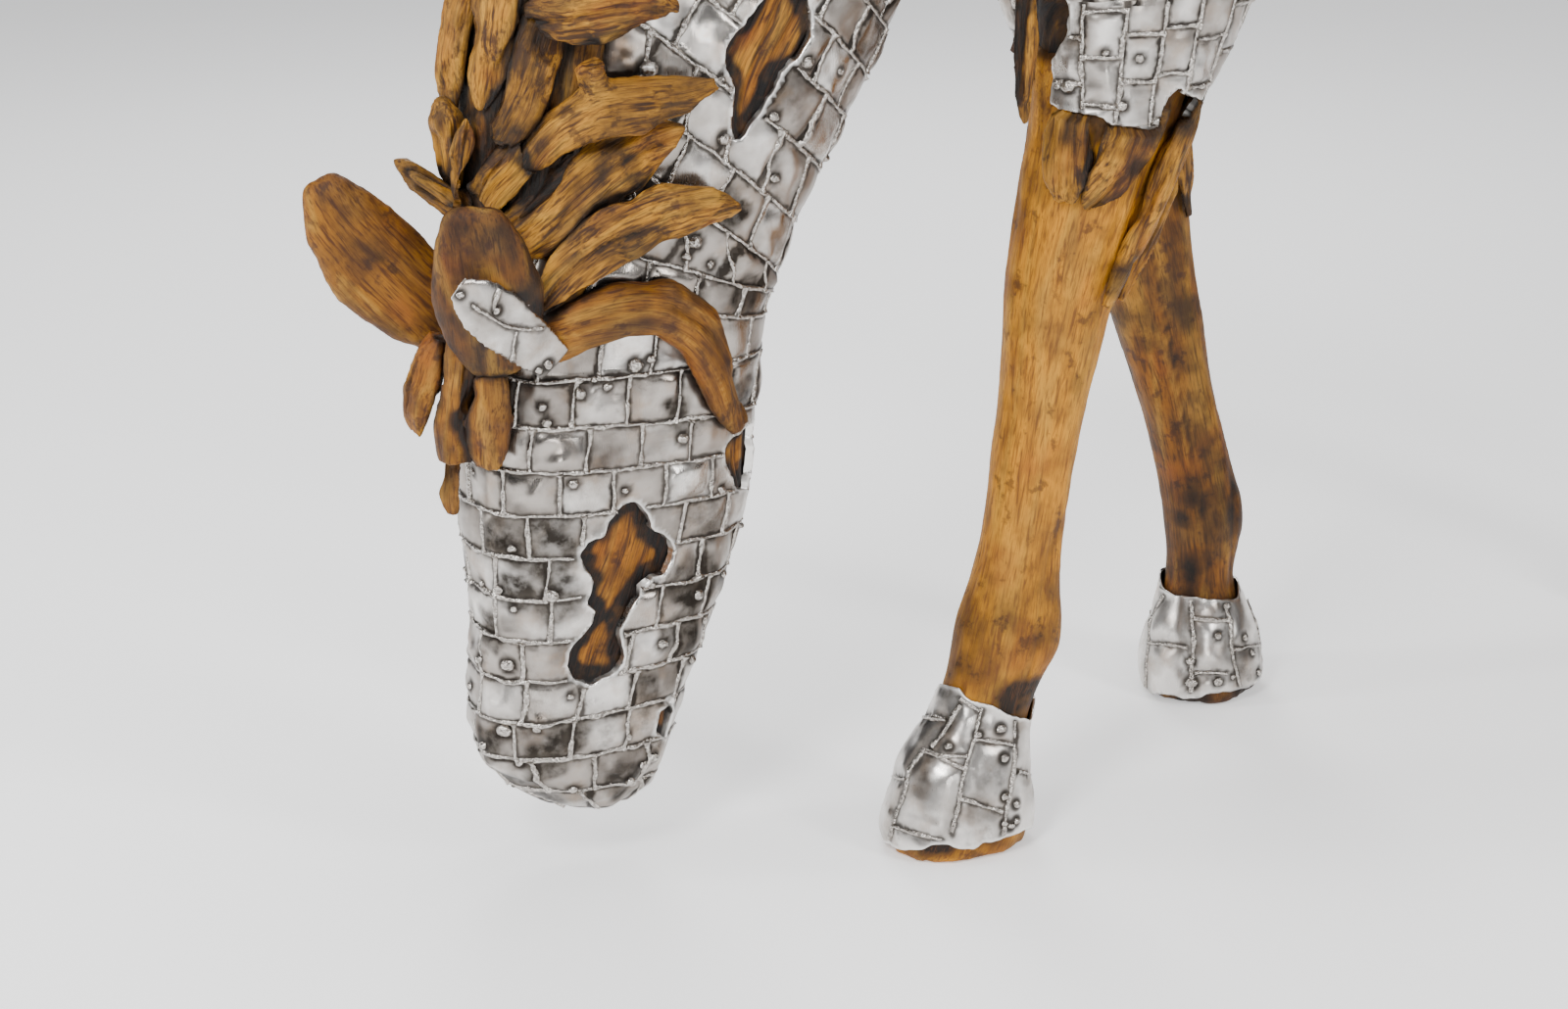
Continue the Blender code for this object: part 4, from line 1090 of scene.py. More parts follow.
# %% Skin pieces
# Each part: the zones that it covers, and how many times it is divided.
SKIN_PARTS = {
    "head_and_neck_skin": (("neck",), 1),
    "trunk_skin": (("trunk", "rump"), 0),
    "near_foreleg_cuff_skin": (("near_foreleg",), 1),
    "far_foreleg_cuff_skin": (("far_foreleg",), 1),
    "left_thigh_cuff_skin": (("left_hind_leg",), 0),
    "right_thigh_cuff_skin": (("right_hind_leg",), 0),
}
skins = []
uncut = {}
for name, (keys, levels) in SKIN_PARTS.items():
    part = zone_part(name, keys, levels)
    uncut[name] = part.data.copy()
    beat(part)
    tear_skin(part)
    write_plates(part)
    skins.append(part)
    print(name, len(part.data.polygons))

# %% [markdown]
# ## Welded stainless sheet
#
# Stainless sheet that was hammered, welded and wiped with a flap disc. Each sheet keeps its own tone and
# a soft brushed gloss. Heat and soot leave rings round the blobs and mottled brown plates. The dark thin
# line on both sides of each bead is soot and painted shade at the bead's foot, and painted shade darkens
# each plate toward its seams. The mottle of the face is partly smoke and partly painted shade where the
# face folds or turns down, and the torn rims get a painted highlight. The material reads the distances to
# the plate's four edges, which the script has measured, so the lines are as sharp as the real ones.

# %% Steel material
SEAM_SHADE_START = 0.0064
SEAM_SHADE_WIDTH = 0.0036
SHADE_WIDTH = 0.014
DENT_GRAIN = 0.030
SCRATCH_GRAIN = 0.0011


def welded_steel_material(name, light, middle, dark):
    material, tree = new_material(name)
    place = add(tree, "TexCoord").outputs["Object"]
    edges = add(tree, "Attribute", attribute_name="plate_edges")
    torn_rim_highlight = add(tree, "Attribute", attribute_name="torn_rim_highlight")
    soot = add(tree, "Attribute", attribute_name="soot")
    smoke_and_shade = add(tree, "Attribute", attribute_name="smoke_and_shade")
    luck = add(tree, "SeparateXYZ", [add(tree, "Attribute", attribute_name="plate_chance")]).outputs
    near = None
    for side in (*add(tree, "SeparateColor", [edges]).outputs, edges.outputs["Alpha"]):
        length = add(tree, "Math", [side], operation="ABSOLUTE")
        near = add(tree, "Math", [near or length, length], operation="MINIMUM")
    wobble = add(tree, "TexNoise", {"Vector": place, "Scale": 1 / 0.009, "Detail": 4.0})
    near = add(tree, "Math", [wobble, 0.008, near], operation="MULTIPLY_ADD")
    # Soot and painted shade: a dark thin line at the foot of each bead, joined with the soot rings round the
    # blobs.
    seam_shade_and_soot = add(tree, "MapRange", [near, SEAM_SHADE_START, SEAM_SHADE_START + SEAM_SHADE_WIDTH, 1.0, 0.0])
    patchy = add(tree, "MapRange", [luck[2], 0.0, 1.0, 0.75, 1.2])
    seam_shade_and_soot = add(tree, "Math", [seam_shade_and_soot, patchy], operation="MULTIPLY", use_clamp=True)
    seam_shade_and_soot = add(tree, "Math", [seam_shade_and_soot, soot], operation="MAXIMUM")
    shade = add(tree, "MapRange", [near, SEAM_SHADE_START, SEAM_SHADE_START + SHADE_WIDTH, 0.48, 0.0])
    # Tone of the plates: each has its own, and a cloud of 50 mm drifts over all of them.
    cloud = add(tree, "TexNoise", {"Vector": place, "Scale": 1 / 0.050, "Detail": 4.0})
    drifted = add(tree, "MapRange", [cloud, 0.2, 0.8, -0.28, 0.42])
    tone = add(tree, "Math", [luck[0], 0.75, drifted], operation="MULTIPLY_ADD")
    base = add(tree, "ValToRGB", [tone], stops=((0.05, light), (0.36, middle), (0.62, middle), (0.95, dark)))
    heat = add(tree, "TexNoise", {"Vector": place, "Scale": 1 / 0.032, "Detail": 3.0})
    warm = add(tree, "MapRange", [heat, 0.52, 0.68, 0.0, 0.40])
    # Mottled scorch and painted shade: specks of 20 mm inside the smoky and shaded areas, and a few strong
    # scorch patches elsewhere.
    speck = add(tree, "TexNoise", {"Vector": place, "Scale": 1 / 0.020, "Detail": 5.0, "Roughness": 0.58})
    specks = add(tree, "MapRange", [speck, 0.36, 0.60, 0.55, 0.97])
    scorch_and_shade = add(tree, "Math", [smoke_and_shade, specks], operation="MULTIPLY")
    smudge = add(tree, "TexNoise", {"Vector": place, "Scale": 1 / 0.085, "Detail": 7.0, "Roughness": 0.65})
    burnt = add(tree, "MapRange", [smudge, 0.58, 0.70, 0.0, 0.65])
    scorch_and_shade = add(tree, "Math", [scorch_and_shade, burnt], operation="MAXIMUM")
    seam_shade_and_soot_share = add(tree, "Math", [seam_shade_and_soot, 0.92], operation="MULTIPLY")
    # Painted highlight along the torn rims of the sheet.
    rim_highlight = add(tree, "Math", [torn_rim_highlight, 0.85], operation="MULTIPLY")
    layers = (
        (warm, "#94795E"), (scorch_and_shade, "#1F1A15"), (shade, "#5C564F"), (seam_shade_and_soot_share, "#26211D"), (rim_highlight, "#ECEAE6"),
    )
    colour = base
    for share, hex_colour in layers:
        colour = add(tree, "Mix", {0: share, 6: colour, 7: linear(hex_colour)}, data_type="RGBA")
    # Brushed lines, upright on half of the plates and level on the others. Real ones are finer.
    stretch = add(tree, "Mapping", {"Vector": place, "Scale": (1.0, 1.0, 0.06)})
    cross = add(tree, "Mapping", {"Vector": place, "Scale": (0.07, 0.07, 1.0)})
    fine = add(tree, "TexNoise", {"Vector": stretch, "Scale": 1 / SCRATCH_GRAIN, "Detail": 2.0})
    level = add(tree, "TexNoise", {"Vector": cross, "Scale": 1 / SCRATCH_GRAIN, "Detail": 2.0})
    way = add(tree, "Math", [luck[1], 0.5], operation="GREATER_THAN")
    scratch = add(tree, "Mix", {0: way, 2: fine, 3: level})
    # Dents of 30 mm, and sharp wrinkles of beaten foil on the plates whose third chance is high.
    dents = add(tree, "TexNoise", {"Vector": place, "Scale": 1 / DENT_GRAIN, "Detail": 0.0})
    foil = add(tree, "TexNoise", {"Vector": place, "Scale": 1 / 0.060, "Detail": 1.0, "Roughness": 0.35},
               noise_type="RIDGED_MULTIFRACTAL")
    beaten = add(tree, "MapRange", [luck[2], 0.50, 0.95, 0.0, 1.0])
    wrinkle = add(tree, "Math", [foil, beaten], operation="MULTIPLY")
    gloss = add(tree, "MapRange", [luck[1], 0.0, 1.0, 0.19, 0.32])
    gloss = add(tree, "Math", [scratch, 0.08, gloss], operation="MULTIPLY_ADD")
    soiled_and_shaded = add(tree, "Math", [seam_shade_and_soot, scorch_and_shade], operation="MAXIMUM")
    gloss = add(tree, "Math", [soiled_and_shaded, 0.22, gloss], operation="MULTIPLY_ADD", use_clamp=True)
    low = add(tree, "Bump", {"Height": dents, "Distance": 0.005, "Strength": 0.8})
    mid = add(tree, "Bump", {"Height": wrinkle, "Distance": 0.0035, "Strength": 0.7, "Normal": low})
    bump = add(tree, "Bump", {"Height": scratch, "Distance": 0.0004, "Strength": 0.3, "Normal": mid})
    steel = add(tree, "BsdfPrincipled", {
        "Base Color": colour, "Metallic": 1.0, "Roughness": gloss, "Normal": bump,
    })
    add(tree, "OutputMaterial", [steel])
    return material


# Warm grey of stainless: nearly neutral where it was polished, browner where heat has tinted it.
clad_steel = welded_steel_material("hammered_stainless_sheet", "#DEDAD5", "#A9A29B", "#58504A")


# %% Weld material
def weld_bead_material():
    """Stick weld in stainless, wire brushed: bright on its crests, dark in its ripples."""
    material, tree = new_material("brushed_stainless_weld_bead")
    place = add(tree, "TexCoord").outputs["Object"]
    ripple = add(tree, "TexNoise", {"Vector": place, "Scale": 1 / 0.004, "Detail": 3.0})
    patch = add(tree, "TexNoise", {"Vector": place, "Scale": 1 / 0.03, "Detail": 3.0})
    tone = add(tree, "ValToRGB", [ripple], stops=((0.32, "#2F2A25"), (0.50, "#A29C95"), (0.66, "#EDE9E3")))
    colour = add(tree, "Mix", {0: patch, 6: tone, 7: linear("#B3ADA6")}, data_type="RGBA")
    bump = add(tree, "Bump", {"Height": ripple, "Distance": 0.0024, "Strength": 0.9})
    metal = add(tree, "BsdfPrincipled", {
        "Base Color": colour, "Metallic": 1.0, "Roughness": 0.27, "Normal": bump,
    })
    add(tree, "OutputMaterial", [metal])
    return material


bead_steel = weld_bead_material()
print("steel finishes:", clad_steel.name, bead_steel.name)

# %% [markdown]
# ## Weld beads
#
# A stick weld is a round, lumpy line about 5 mm wide that swells where the welder stopped, often at the
# end of a short seam. Each is a curve along a seam with a small round section and a radius that changes
# from point to point, sunk a little into the sheet. Curves are quick and their tubes stay clean.

# %% A bead as a tube
def bead_curve(name, runs, sides):
    """A mesh object with a lumpy tube along each run of (point, radius)."""
    curve = bpy.data.curves.new(name, "CURVE")
    curve.dimensions = "3D"
    curve.bevel_depth = 1.0
    curve.bevel_resolution = sides
    curve.use_fill_caps = True
    for run in runs:
        spline = curve.splines.new("POLY")
        spline.points.add(len(run) - 1)
        for knot, (point, radius) in zip(spline.points, run):
            knot.co = (*point, 1.0)
            knot.radius = radius
    holder = bpy.data.objects.new(name, curve)
    bpy.context.scene.collection.objects.link(holder)
    graph = bpy.context.evaluated_depsgraph_get()
    mesh = bpy.data.meshes.new_from_object(holder.evaluated_get(graph))
    bpy.data.objects.remove(holder)
    piece = bpy.data.objects.new(name, mesh)
    bpy.context.scene.collection.objects.link(piece)
    return piece


# %% The line of a bead
BEAD_RADIUS = 0.0030
BEAD_SINK = 0.0007
BEAD_WANDER = 0.0019


def broken_runs(points, radii, keep, starts):
    """Splits one long list of points into runs, at each start and wherever a point isn't kept."""
    runs, run = [], []
    starts = set(starts)
    for index in range(len(points)):
        if index in starts or not keep[index]:
            if len(run) > 1:
                runs.append(run)
            run = []
        if keep[index]:
            run.append((points[index], radii[index]))
    if len(run) > 1:
        runs.append(run)
    return runs


def bead_runs(tree, seams, is_kept, seed):
    """The seams as runs of points with a radius, sunk in the sheet and broken where it is torn."""
    places, ends, starts = [], [], []
    for points, is_long in seams:
        found = [point for point in points if point is not None]
        if len(found) < 3:
            continue
        starts.append(len(places))
        swell = 0.15 if is_long else 0.65
        end = np.full(len(found), 0.95 if is_long else 1.0)
        end[0] += swell
        end[-1] += swell
        places.extend(found)
        ends.extend(end)
    places = np.array(places)
    wander = BEAD_WANDER * np.stack([drift(places, 0.022, seed + axis) for axis in (1, 2, 3)], 1)
    places = places + wander
    keep = is_kept(places)
    lumps = 1 + 0.50 * drift(places, 0.008, seed + 5) + 0.34 * drift(places, 0.030, seed + 6)
    radii = BEAD_RADIUS * np.maximum(lumps, 0.5) * np.array(ends)
    spots = []
    for place in places:
        spot, normal, _, _ = tree.find_nearest(Vector(place))
        spots.append(spot - normal * BEAD_SINK)
    return broken_runs(spots, radii, keep, starts)


def on_sheet(zone):
    """A test for the places that lie in a zone and where the sheet isn't torn away."""
    return lambda places: (zone_of(places) == zone) & (torn(places) > 0.001)


# %% Beads along every seam
# Each part of the skin: the distance between a bead's points, and how many sides its tube gets.
BEAD_STEPS = {
    "head_and_neck_skin": (0.0052, 1), "trunk_skin": (0.0125, 0), "near_foreleg_cuff_skin": (0.0045, 1),
    "far_foreleg_cuff_skin": (0.006, 1), "left_thigh_cuff_skin": (0.009, 0),
    "right_thigh_cuff_skin": (0.009, 0),
}
steel_surfaces = {part.name: surface_of(part) for part in skins}
for name, (step, sides) in BEAD_STEPS.items():
    surface = steel_surfaces[name]
    runs = []
    for key in SKIN_PARTS[name][0]:
        zone = ZONES.index(key)
        runs += bead_runs(surface, PLATINGS[key].seams(surface, step), on_sheet(zone), zone * 10)
    finish_piece(bead_curve(name.replace("skin", "weld_beads"), runs, sides), bead_steel)

# %% [markdown]
# ## Blobs of weld metal
#
# Besides the seams, the welder left round blobs, 7 to 22 mm across, each in a dark ring of soot. Each is
# a small sphere, flattened and set into the sheet. Those that the photo shows are traced: two pixels and
# a radius in millimetres. The others fall near seams by chance.

# %% Sizes and traces of the blobs
BLOB_RADIUS = 0.0050
# A blob is a little oval, and flatter than it is wide.
BLOB_SIDES = (1.0, 0.88, 0.72)
BLOB_APART = 0.05
BLOB_TRACES = {
    "head_and_neck_skin": (
        (522, 560, 5.5), (562, 608, 9), (509, 602, 5.5), (492, 595, 4.5), (524, 621, 4.5), (638, 501, 4.5),
        (713, 607, 6.5), (738, 585, 5.5), (676, 657, 6.5), (719, 632, 5.5), (518, 679, 8), (490, 673, 5.5),
        (515, 746, 9), (558, 432, 5.5), (553, 415, 5.5), (585, 494, 5.5), (697, 447, 6.5), (582, 711, 4.5),
        (641, 752, 5.5), (648, 802, 7), (585, 806, 5.5), (706, 673, 4.5), (493, 761, 5.5), (530, 778, 5.5),
        (648, 373, 9), (560, 368, 5), (592, 402, 7), (620, 395, 5), (606, 388, 4.5), (662, 70, 11),
        (709, 247, 9), (739, 142, 8), (790, 119, 6), (824, 64, 8), (858, 73, 4.5), (700, 262, 6),
        (725, 270, 5), (664, 366, 5), (548, 745, 4.5), (676, 782, 6), (663, 790, 5), (480, 700, 5),
    ),
    "near_foreleg_cuff_skin": ((1090, 88, 8), (1079, 87, 5), (1163, 60, 5), (1128, 54, 4)),
}
BLOB_COUNTS = {
    "head_and_neck_skin": 90, "trunk_skin": 110, "near_foreleg_cuff_skin": 8,
    "far_foreleg_cuff_skin": 10, "left_thigh_cuff_skin": 14, "right_thigh_cuff_skin": 14,
}


# %% Placing and shaping a blob
def blob_places(part, count, seed):
    """Places near the seams of a skin piece, their normals and radii."""
    points, normals = points_of(part), normals_of(part)
    zone, row, number = plate_facts(points)
    edges = plate_edges(points, zone, row, number)
    near = np.abs(edges).min(1)
    good = (near > 0.004) & (near < 0.014) & (torn(points) > 0.006)
    luck = chance(np.round(points * 1000) + seed)
    order = np.argsort(np.where(good, luck, 2.0))[:count]
    radii = BLOB_RADIUS * (0.7 + 0.6 * chance(np.round(points[order] * 777)))
    return points[order], normals[order], radii


def traced_blobs(tree, marks):
    """The places, normals and radii of blobs that the photo shows."""
    found = [tree.find_nearest(spot) for spot in trace(tree, [mark[:2] for mark in marks])]
    places = np.array([spot for spot, _, _, _ in found])
    normals = np.array([normal for _, normal, _, _ in found])
    return places, normals, np.array([mark[2] for mark in marks]) / 1000


def weld_blobs(name, places, normals, radii):
    """Flattened drops of weld metal, each a small lumpy sphere set into the sheet."""
    shape = bmesh.new()
    for place, normal, radius in zip(places, normals, radii):
        turn = Vector(normal).to_track_quat("Z", "Y").to_matrix().to_4x4()
        squash = Matrix.Diagonal((*(radius * side for side in BLOB_SIDES), 1.0))
        spot = Matrix.Translation(Vector(place))
        bmesh.ops.create_uvsphere(shape, u_segments=9, v_segments=6, radius=1.0, matrix=spot @ turn @ squash)
    piece = to_object(name, shape)
    points = points_of(piece)
    lumps = 0.0016 * drift(points, 0.005, 31)
    move_points(piece, points + normals_of(piece) * lumps[:, None])
    return piece


def soot_round(points, places, radii):
    """How sooty each point is: 1 against a blob, and 0 beyond its ring."""
    closest = np.full(len(points), 1.0)
    for place, radius in zip(places, radii):
        closest = np.minimum(closest, np.linalg.norm(points - place, axis=1) - radius)
    return 1 - soft_step(closest, 0.0008, 0.0065)


# %% Blobs on the skin
for order, part in enumerate(skins):
    chosen = blob_places(part, BLOB_COUNTS[part.name], order + 1)
    if part.name in BLOB_TRACES:
        seen = traced_blobs(steel_surfaces[part.name], BLOB_TRACES[part.name])
        apart = np.linalg.norm(chosen[0][:, None] - seen[0][None], axis=2).min(1) > BLOB_APART
        chosen = [np.concatenate([random[apart], traced]) for random, traced in zip(chosen, seen)]
    places, normals, radii = chosen
    blobs = weld_blobs(part.name.replace("skin", "weld_blobs"), places, normals, radii)
    finish_piece(blobs, bead_steel)
    write_values(part, "soot", "FLOAT", "POINT", soot_round(points_of(part), places, radii))
    finish_piece(part, clad_steel, replaces=("steel_clad_body",))
bpy.data.objects.remove(skin)

# %% [markdown]
# ## Scorched teak
#
# Old teak root, rough carved with a chisel and a grinder, scorched with a torch and oiled. The grain runs
# along each piece, even where the piece bends, so the script measures how far each point lies along the
# piece and how far from its bent middle line, and the material and the chisel marks both follow that.


# %% Teak material
def teak_material(name, honey, mid, stain, char_and_shade_colour, stain_share, bump_depth, streaks):
    material, tree = new_material(name)
    grain = add(tree, "Attribute", attribute_name="grain")
    char_and_shade = add(tree, "Attribute", attribute_name="char_and_shade")
    crest = add(tree, "Attribute", attribute_name="crest")
    # Fibres are 3 mm apart and bands 20 mm, both about eleven times as long. Pores are drawn 1.3 mm wide.
    along = add(tree, "Mapping", {"Vector": grain, "Scale": (0.09, 1.0, 1.0)})
    fibre = add(tree, "TexNoise", {"Vector": along, "Scale": 1 / 0.0032, "Detail": 4.0, "Distortion": 0.5})
    band = add(tree, "TexNoise", {"Vector": along, "Scale": 1 / 0.020, "Detail": 3.0, "Distortion": 1.6})
    patch = add(tree, "TexNoise", {"Vector": grain, "Scale": 1 / 0.050, "Detail": 5.0, "Roughness": 0.58})
    blotch = add(tree, "TexNoise", {"Vector": grain, "Scale": 1 / 0.021, "Detail": 4.0, "Roughness": 0.6})
    hue = add(tree, "TexNoise", {"Vector": grain, "Scale": 1 / 0.075, "Detail": 3.0})
    pores = add(tree, "Mapping", {"Vector": grain, "Scale": (0.06, 1.0, 1.0)})
    pore = add(tree, "TexNoise", {"Vector": pores, "Scale": 1 / 0.0013, "Detail": 2.0})
    squeezed = add(tree, "Mapping", {"Vector": grain, "Scale": (0.45, 1.0, 1.0)})
    knot = add(tree, "TexVoronoi", {"Vector": squeezed, "Scale": 1 / 0.062})
    fine_band = add(tree, "Math", [fibre, 0.45], operation="MULTIPLY")
    streak = add(tree, "Math", [band, 0.55, fine_band], operation="MULTIPLY_ADD")
    wood = add(tree, "ValToRGB", [streak], stops=tuple(zip(streaks, (stain, mid, honey, mid))))
    worn = add(tree, "MapRange", [crest, 0.0, 1.0, 0.0, 0.35])
    # Weathered grey-brown and redder heartwood take turns over 75 mm.
    weather = add(tree, "MapRange", [hue, 0.52, 0.68, 0.0, 0.42])
    heart = add(tree, "MapRange", [hue, 0.46, 0.32, 0.0, 0.40])
    mottle = add(tree, "MapRange", [patch, 0.49, 0.62, 0.0, stain_share])
    small = add(tree, "MapRange", [blotch, 0.59, 0.66, 0.0, 0.62])
    knots = add(tree, "MapRange", [knot, 0.05, 0.17, 0.80, 0.0])
    # The edge of the char, and of the painted shade that shares it, is as ragged as a flame leaves it.
    flame = add(tree, "MapRange", [blotch, 0.0, 1.0, -0.35, 0.35])
    edge = add(tree, "Math", [flame, char_and_shade], use_clamp=True)
    started = add(tree, "MapRange", [char_and_shade, 0.02, 0.15])
    edge = add(tree, "Math", [edge, started], operation="MULTIPLY")
    line = add(tree, "MapRange", [fibre, 0.36, 0.46, 0.55, 0.0])
    dot = add(tree, "MapRange", [pore, 0.32, 0.48, 0.50, 0.0])
    # From the wood up, each layer partly covers the ones before it.
    layers = (
        (worn, "#BC9038"), (weather, "#705428"), (heart, "#8A4412"), (mottle, stain), (small, "#301813"),
        (knots, "#2C150A"), (edge, char_and_shade_colour), (line, stain), (dot, stain),
    )
    colour = wood
    for share, hex_colour in layers:
        colour = add(tree, "Mix", {0: share, 6: colour, 7: linear(hex_colour)}, data_type="RGBA")
    relief = add(tree, "Math", [pore, 0.4], operation="MULTIPLY")
    relief = add(tree, "Math", [fibre, 0.9, relief], operation="MULTIPLY_ADD")
    bump = add(tree, "Bump", {"Height": relief, "Distance": bump_depth, "Strength": 0.9})
    body = add(tree, "BsdfPrincipled", {
        "Base Color": colour, "Roughness": 0.60, "IOR": 1.5, "Normal": bump, "Specular IOR Level": 0.28,
    })
    add(tree, "OutputMaterial", [body])
    return material


# %% Kinds of teak
# Split root shows broad dark streaks. Planed legs are paler and more even, and the ground ears and brow
# are smooth and dark. Each kind: honey, middle and stain colours, a colour for char and painted shade,
# share of stain, depth of relief.
ROUGH_STREAKS = (0.40, 0.47, 0.55, 0.68)
PLANED_STREAKS = (0.26, 0.42, 0.54, 0.85)
oiled_teak = teak_material(
    "scorched_oiled_teak", "#B57C20", "#7E5214", "#38210E", "#120B06", 0.62, 0.0020, ROUGH_STREAKS)
brown_teak = teak_material(
    "scorched_brown_teak", "#865510", "#5E390A", "#2C190A", "#0F0A06", 0.66, 0.0020, ROUGH_STREAKS)
planed_teak = teak_material(
    "planed_oiled_teak", "#C48212", "#A0660E", "#5A3412", "#1C1108", 0.42, 0.0008, PLANED_STREAKS)
planed_brown_teak = teak_material(
    "planed_brown_teak", "#84500C", "#643A08", "#321C0A", "#110A05", 0.60, 0.0008, PLANED_STREAKS)
smooth_brow_teak = teak_material(
    "smooth_orange_teak", "#8F5B10", "#6E4109", "#34190A", "#140C06", 0.55, 0.0010, PLANED_STREAKS)
smooth_dark_teak = teak_material(
    "smooth_dark_teak", "#5E380B", "#482809", "#241208", "#0B0705", 0.60, 0.0010, PLANED_STREAKS)
charred_teak = teak_material(
    "charred_window_teak", "#A86A12", "#78480C", "#331B09", "#070403", 0.6, 0.0018, ROUGH_STREAKS)
print("kinds of teak:", len([finish for finish in bpy.data.materials if finish.name.endswith("teak")]))

# %% [markdown]
# ## Carving
#
# A carver leaves three kinds of marks: flats where a slice came off, long grooves along the grain, and
# deep creases where the root was split. Flats press points below a plane. Grooves and creases are ridged
# noise that is stretched along the grain. Hollows are darker and crests paler, as the torch leaves them.


# %% Grain and flats
FLAT_BITE = 0.006
# A flat is full depth this far either way along the grain, and ends at the second distance.
FLAT_CORE = 0.022
FLAT_END = 0.045


def grain_of(points):
    """How far each point lies along a piece, and its two offsets from the piece's bent middle line."""
    middle = points.mean(0)
    axes = np.linalg.svd(points[::7] - middle, full_matrices=False)[2]
    local = (points - middle) @ axes.T
    for side in (1, 2):
        curve = np.polyfit(local[:, 0], local[:, side], 3)
        local[:, side] -= np.polyval(curve, local[:, 0])
    return local


def cut_flats(piece, count, seed):
    """Planes flats on a piece, as a gouge or a grinder leaves them, along and a little across the grain."""
    points = points_of(piece)
    middle = points.mean(0)
    axes = np.linalg.svd(points[::7] - middle, full_matrices=False)[2]
    length = np.abs((points - middle) @ axes[0]).max()
    for index in range(count):
        cells = np.array([[index, seed, 1], [index, seed, 2], [index, seed, 3], [index, seed, 4]], float)
        turn, slant, place, depth = chance(cells)
        turn = 2 * math.pi * (index / count * 3 + 0.3 * turn)
        way = axes[1] * math.cos(turn) + axes[2] * math.sin(turn) + axes[0] * (slant - 0.5) * 0.9
        way /= np.linalg.norm(way)
        along = (points - middle) @ axes[0] - (place * 2 - 1) * length * 0.8
        close = np.abs(along) < FLAT_END
        if close.sum() < 20:
            continue
        height = points @ way
        limit = np.percentile(height[close], 99) - FLAT_BITE * (0.5 + depth)
        cut = np.where(close, np.maximum(height - limit, 0), 0)
        cut = np.minimum(cut, FLAT_BITE * 1.6) * (1 - soft_step(np.abs(along), FLAT_CORE, FLAT_END))
        points -= way * (cut * 0.9)[:, None]
    move_points(piece, points)


# %% Grooves, creases and char
def carve(piece, depth, groove, seed, reach=0.10):
    """Cuts creases, grooves and swells along the grain and stores the grain, the crests and the hollows."""
    points, normals = points_of(piece), normals_of(piece)
    grain = grain_of(points)
    parting = np.abs(drift(grain, (reach * 1.5, groove * 2.4, groove * 2.4), seed + 3))
    crease = np.exp(-((parting / 0.13) ** 2))
    long_groove = ridges(grain, (reach, groove, groove), seed)
    fine_groove = ridges(grain, (reach * 0.5, groove * 0.4, groove * 0.4), seed + 1)
    swell = drift(grain, (0.06, 0.03, 0.03), seed + 2)
    rise = depth * (0.45 * long_groove - 0.2) + 0.3 * depth * (fine_groove - 0.5)
    rise += depth * 0.9 * swell - 1.3 * depth * crease
    move_points(piece, points + normals * rise[:, None])
    write_values(piece, "grain", "FLOAT_VECTOR", "POINT", grain + seed * 0.37)
    hollow = np.maximum(soft_step(-long_groove, -0.2, 0.9), crease)
    write_values(piece, "crest", "FLOAT", "POINT", soft_step(long_groove, 0.4, 1.0) * (1 - crease))
    return points, hollow


def burn_of(points, hollow, seed, strength=0.6):
    """How charred each point is: dark in the hollows and in patches."""
    cloud = soft_step(drift(points, 0.045, seed + 9) + 0.5 * drift(points, 0.018, seed + 10), 0.10, 0.85)
    return np.clip(strength * (0.75 * hollow + 0.9 * cloud), 0, 1)


# %% Wood beside the steel
def shade_beside_steel(points, start):
    """Painted shade on the wood beside the welded steel: darkest up to start, and none 20 mm further on."""
    return 0.85 * (1 - soft_step(nearness(steel_tree, points, 0.03), start, start + 0.020))


def tuck_under(piece, depth):
    """Presses what lies behind the sheets well below them, so that no wood comes through the steel."""
    points = points_of(piece)
    cover = soft_step(torn(points), -0.004, 0.008)
    for index in np.nonzero((cover > 0) & (points[:, 2] > SKINNED_ABOVE))[0]:
        spot, normal, _, _ = whole_skin.find_nearest(Vector(points[index]), 0.05)
        if spot is None:
            continue
        push = depth * cover[index] - normal.dot(spot - Vector(points[index]))
        if push > 0:
            points[index] -= np.array(normal) * push
    move_points(piece, points)


# %% One carved piece
# The slim splint in front of the near cuff keeps its colour along this line, and both its flanks get painted
# shade.
SPLINT_UNSHADED_LINE = ((1060, 2), (1055, 60), (1047, 118))


def carved_piece(node, material, voxel, depth, groove, seed, strength=0.6, flats=0, rounds=2, levels=0,
                 swell=0.0):
    """A carved piece of teak in place of one CAD node. swell makes up for what the smoothing took."""
    piece = smooth_form(node + "_carving", joined([node]), voxel, rounds, levels)
    move_points(piece, points_of(piece) + normals_of(piece) * swell)
    if flats:
        cut_flats(piece, flats, seed)
    points, hollow = carve(piece, depth, groove, seed)
    if "_forearm_" in node and "front_splint" not in node:
        tuck_under(piece, 0.009)
    char_and_shade = burn_of(points, hollow, seed, strength)
    # Painted shade on both flanks of the splint, away from its line.
    if node == "near_forearm_front_splint":
        line = trace_line(surface_of(piece), SPLINT_UNSHADED_LINE)
        char_and_shade = np.maximum(char_and_shade, soft_step(gap_to(line, points), 0.008, 0.014))
    # Painted shade where the wood meets the steel, and in the gaps between pieces of wood.
    char_and_shade = np.maximum(char_and_shade, shade_beside_steel(points, 0.004))
    others = BVHTree.FromBMesh(joined([other for other in LOOSE_WOOD if other != node]))
    char_and_shade = np.maximum(char_and_shade, 1 - soft_step(nearness(others, points, 0.02), 0.001, 0.011))
    write_values(piece, "char_and_shade", "FLOAT", "POINT", char_and_shade)
    finish_piece(piece, material, replaces=(node,))


# %% [markdown]
# ## Mane, forelock, tail and ears
#
# The mane is chunky split root with sharp edges, so its remesh is fine and hardly smoothed. The ears are
# ground round and smooth. What faces away from the photo is made with a coarser remesh of the same form.

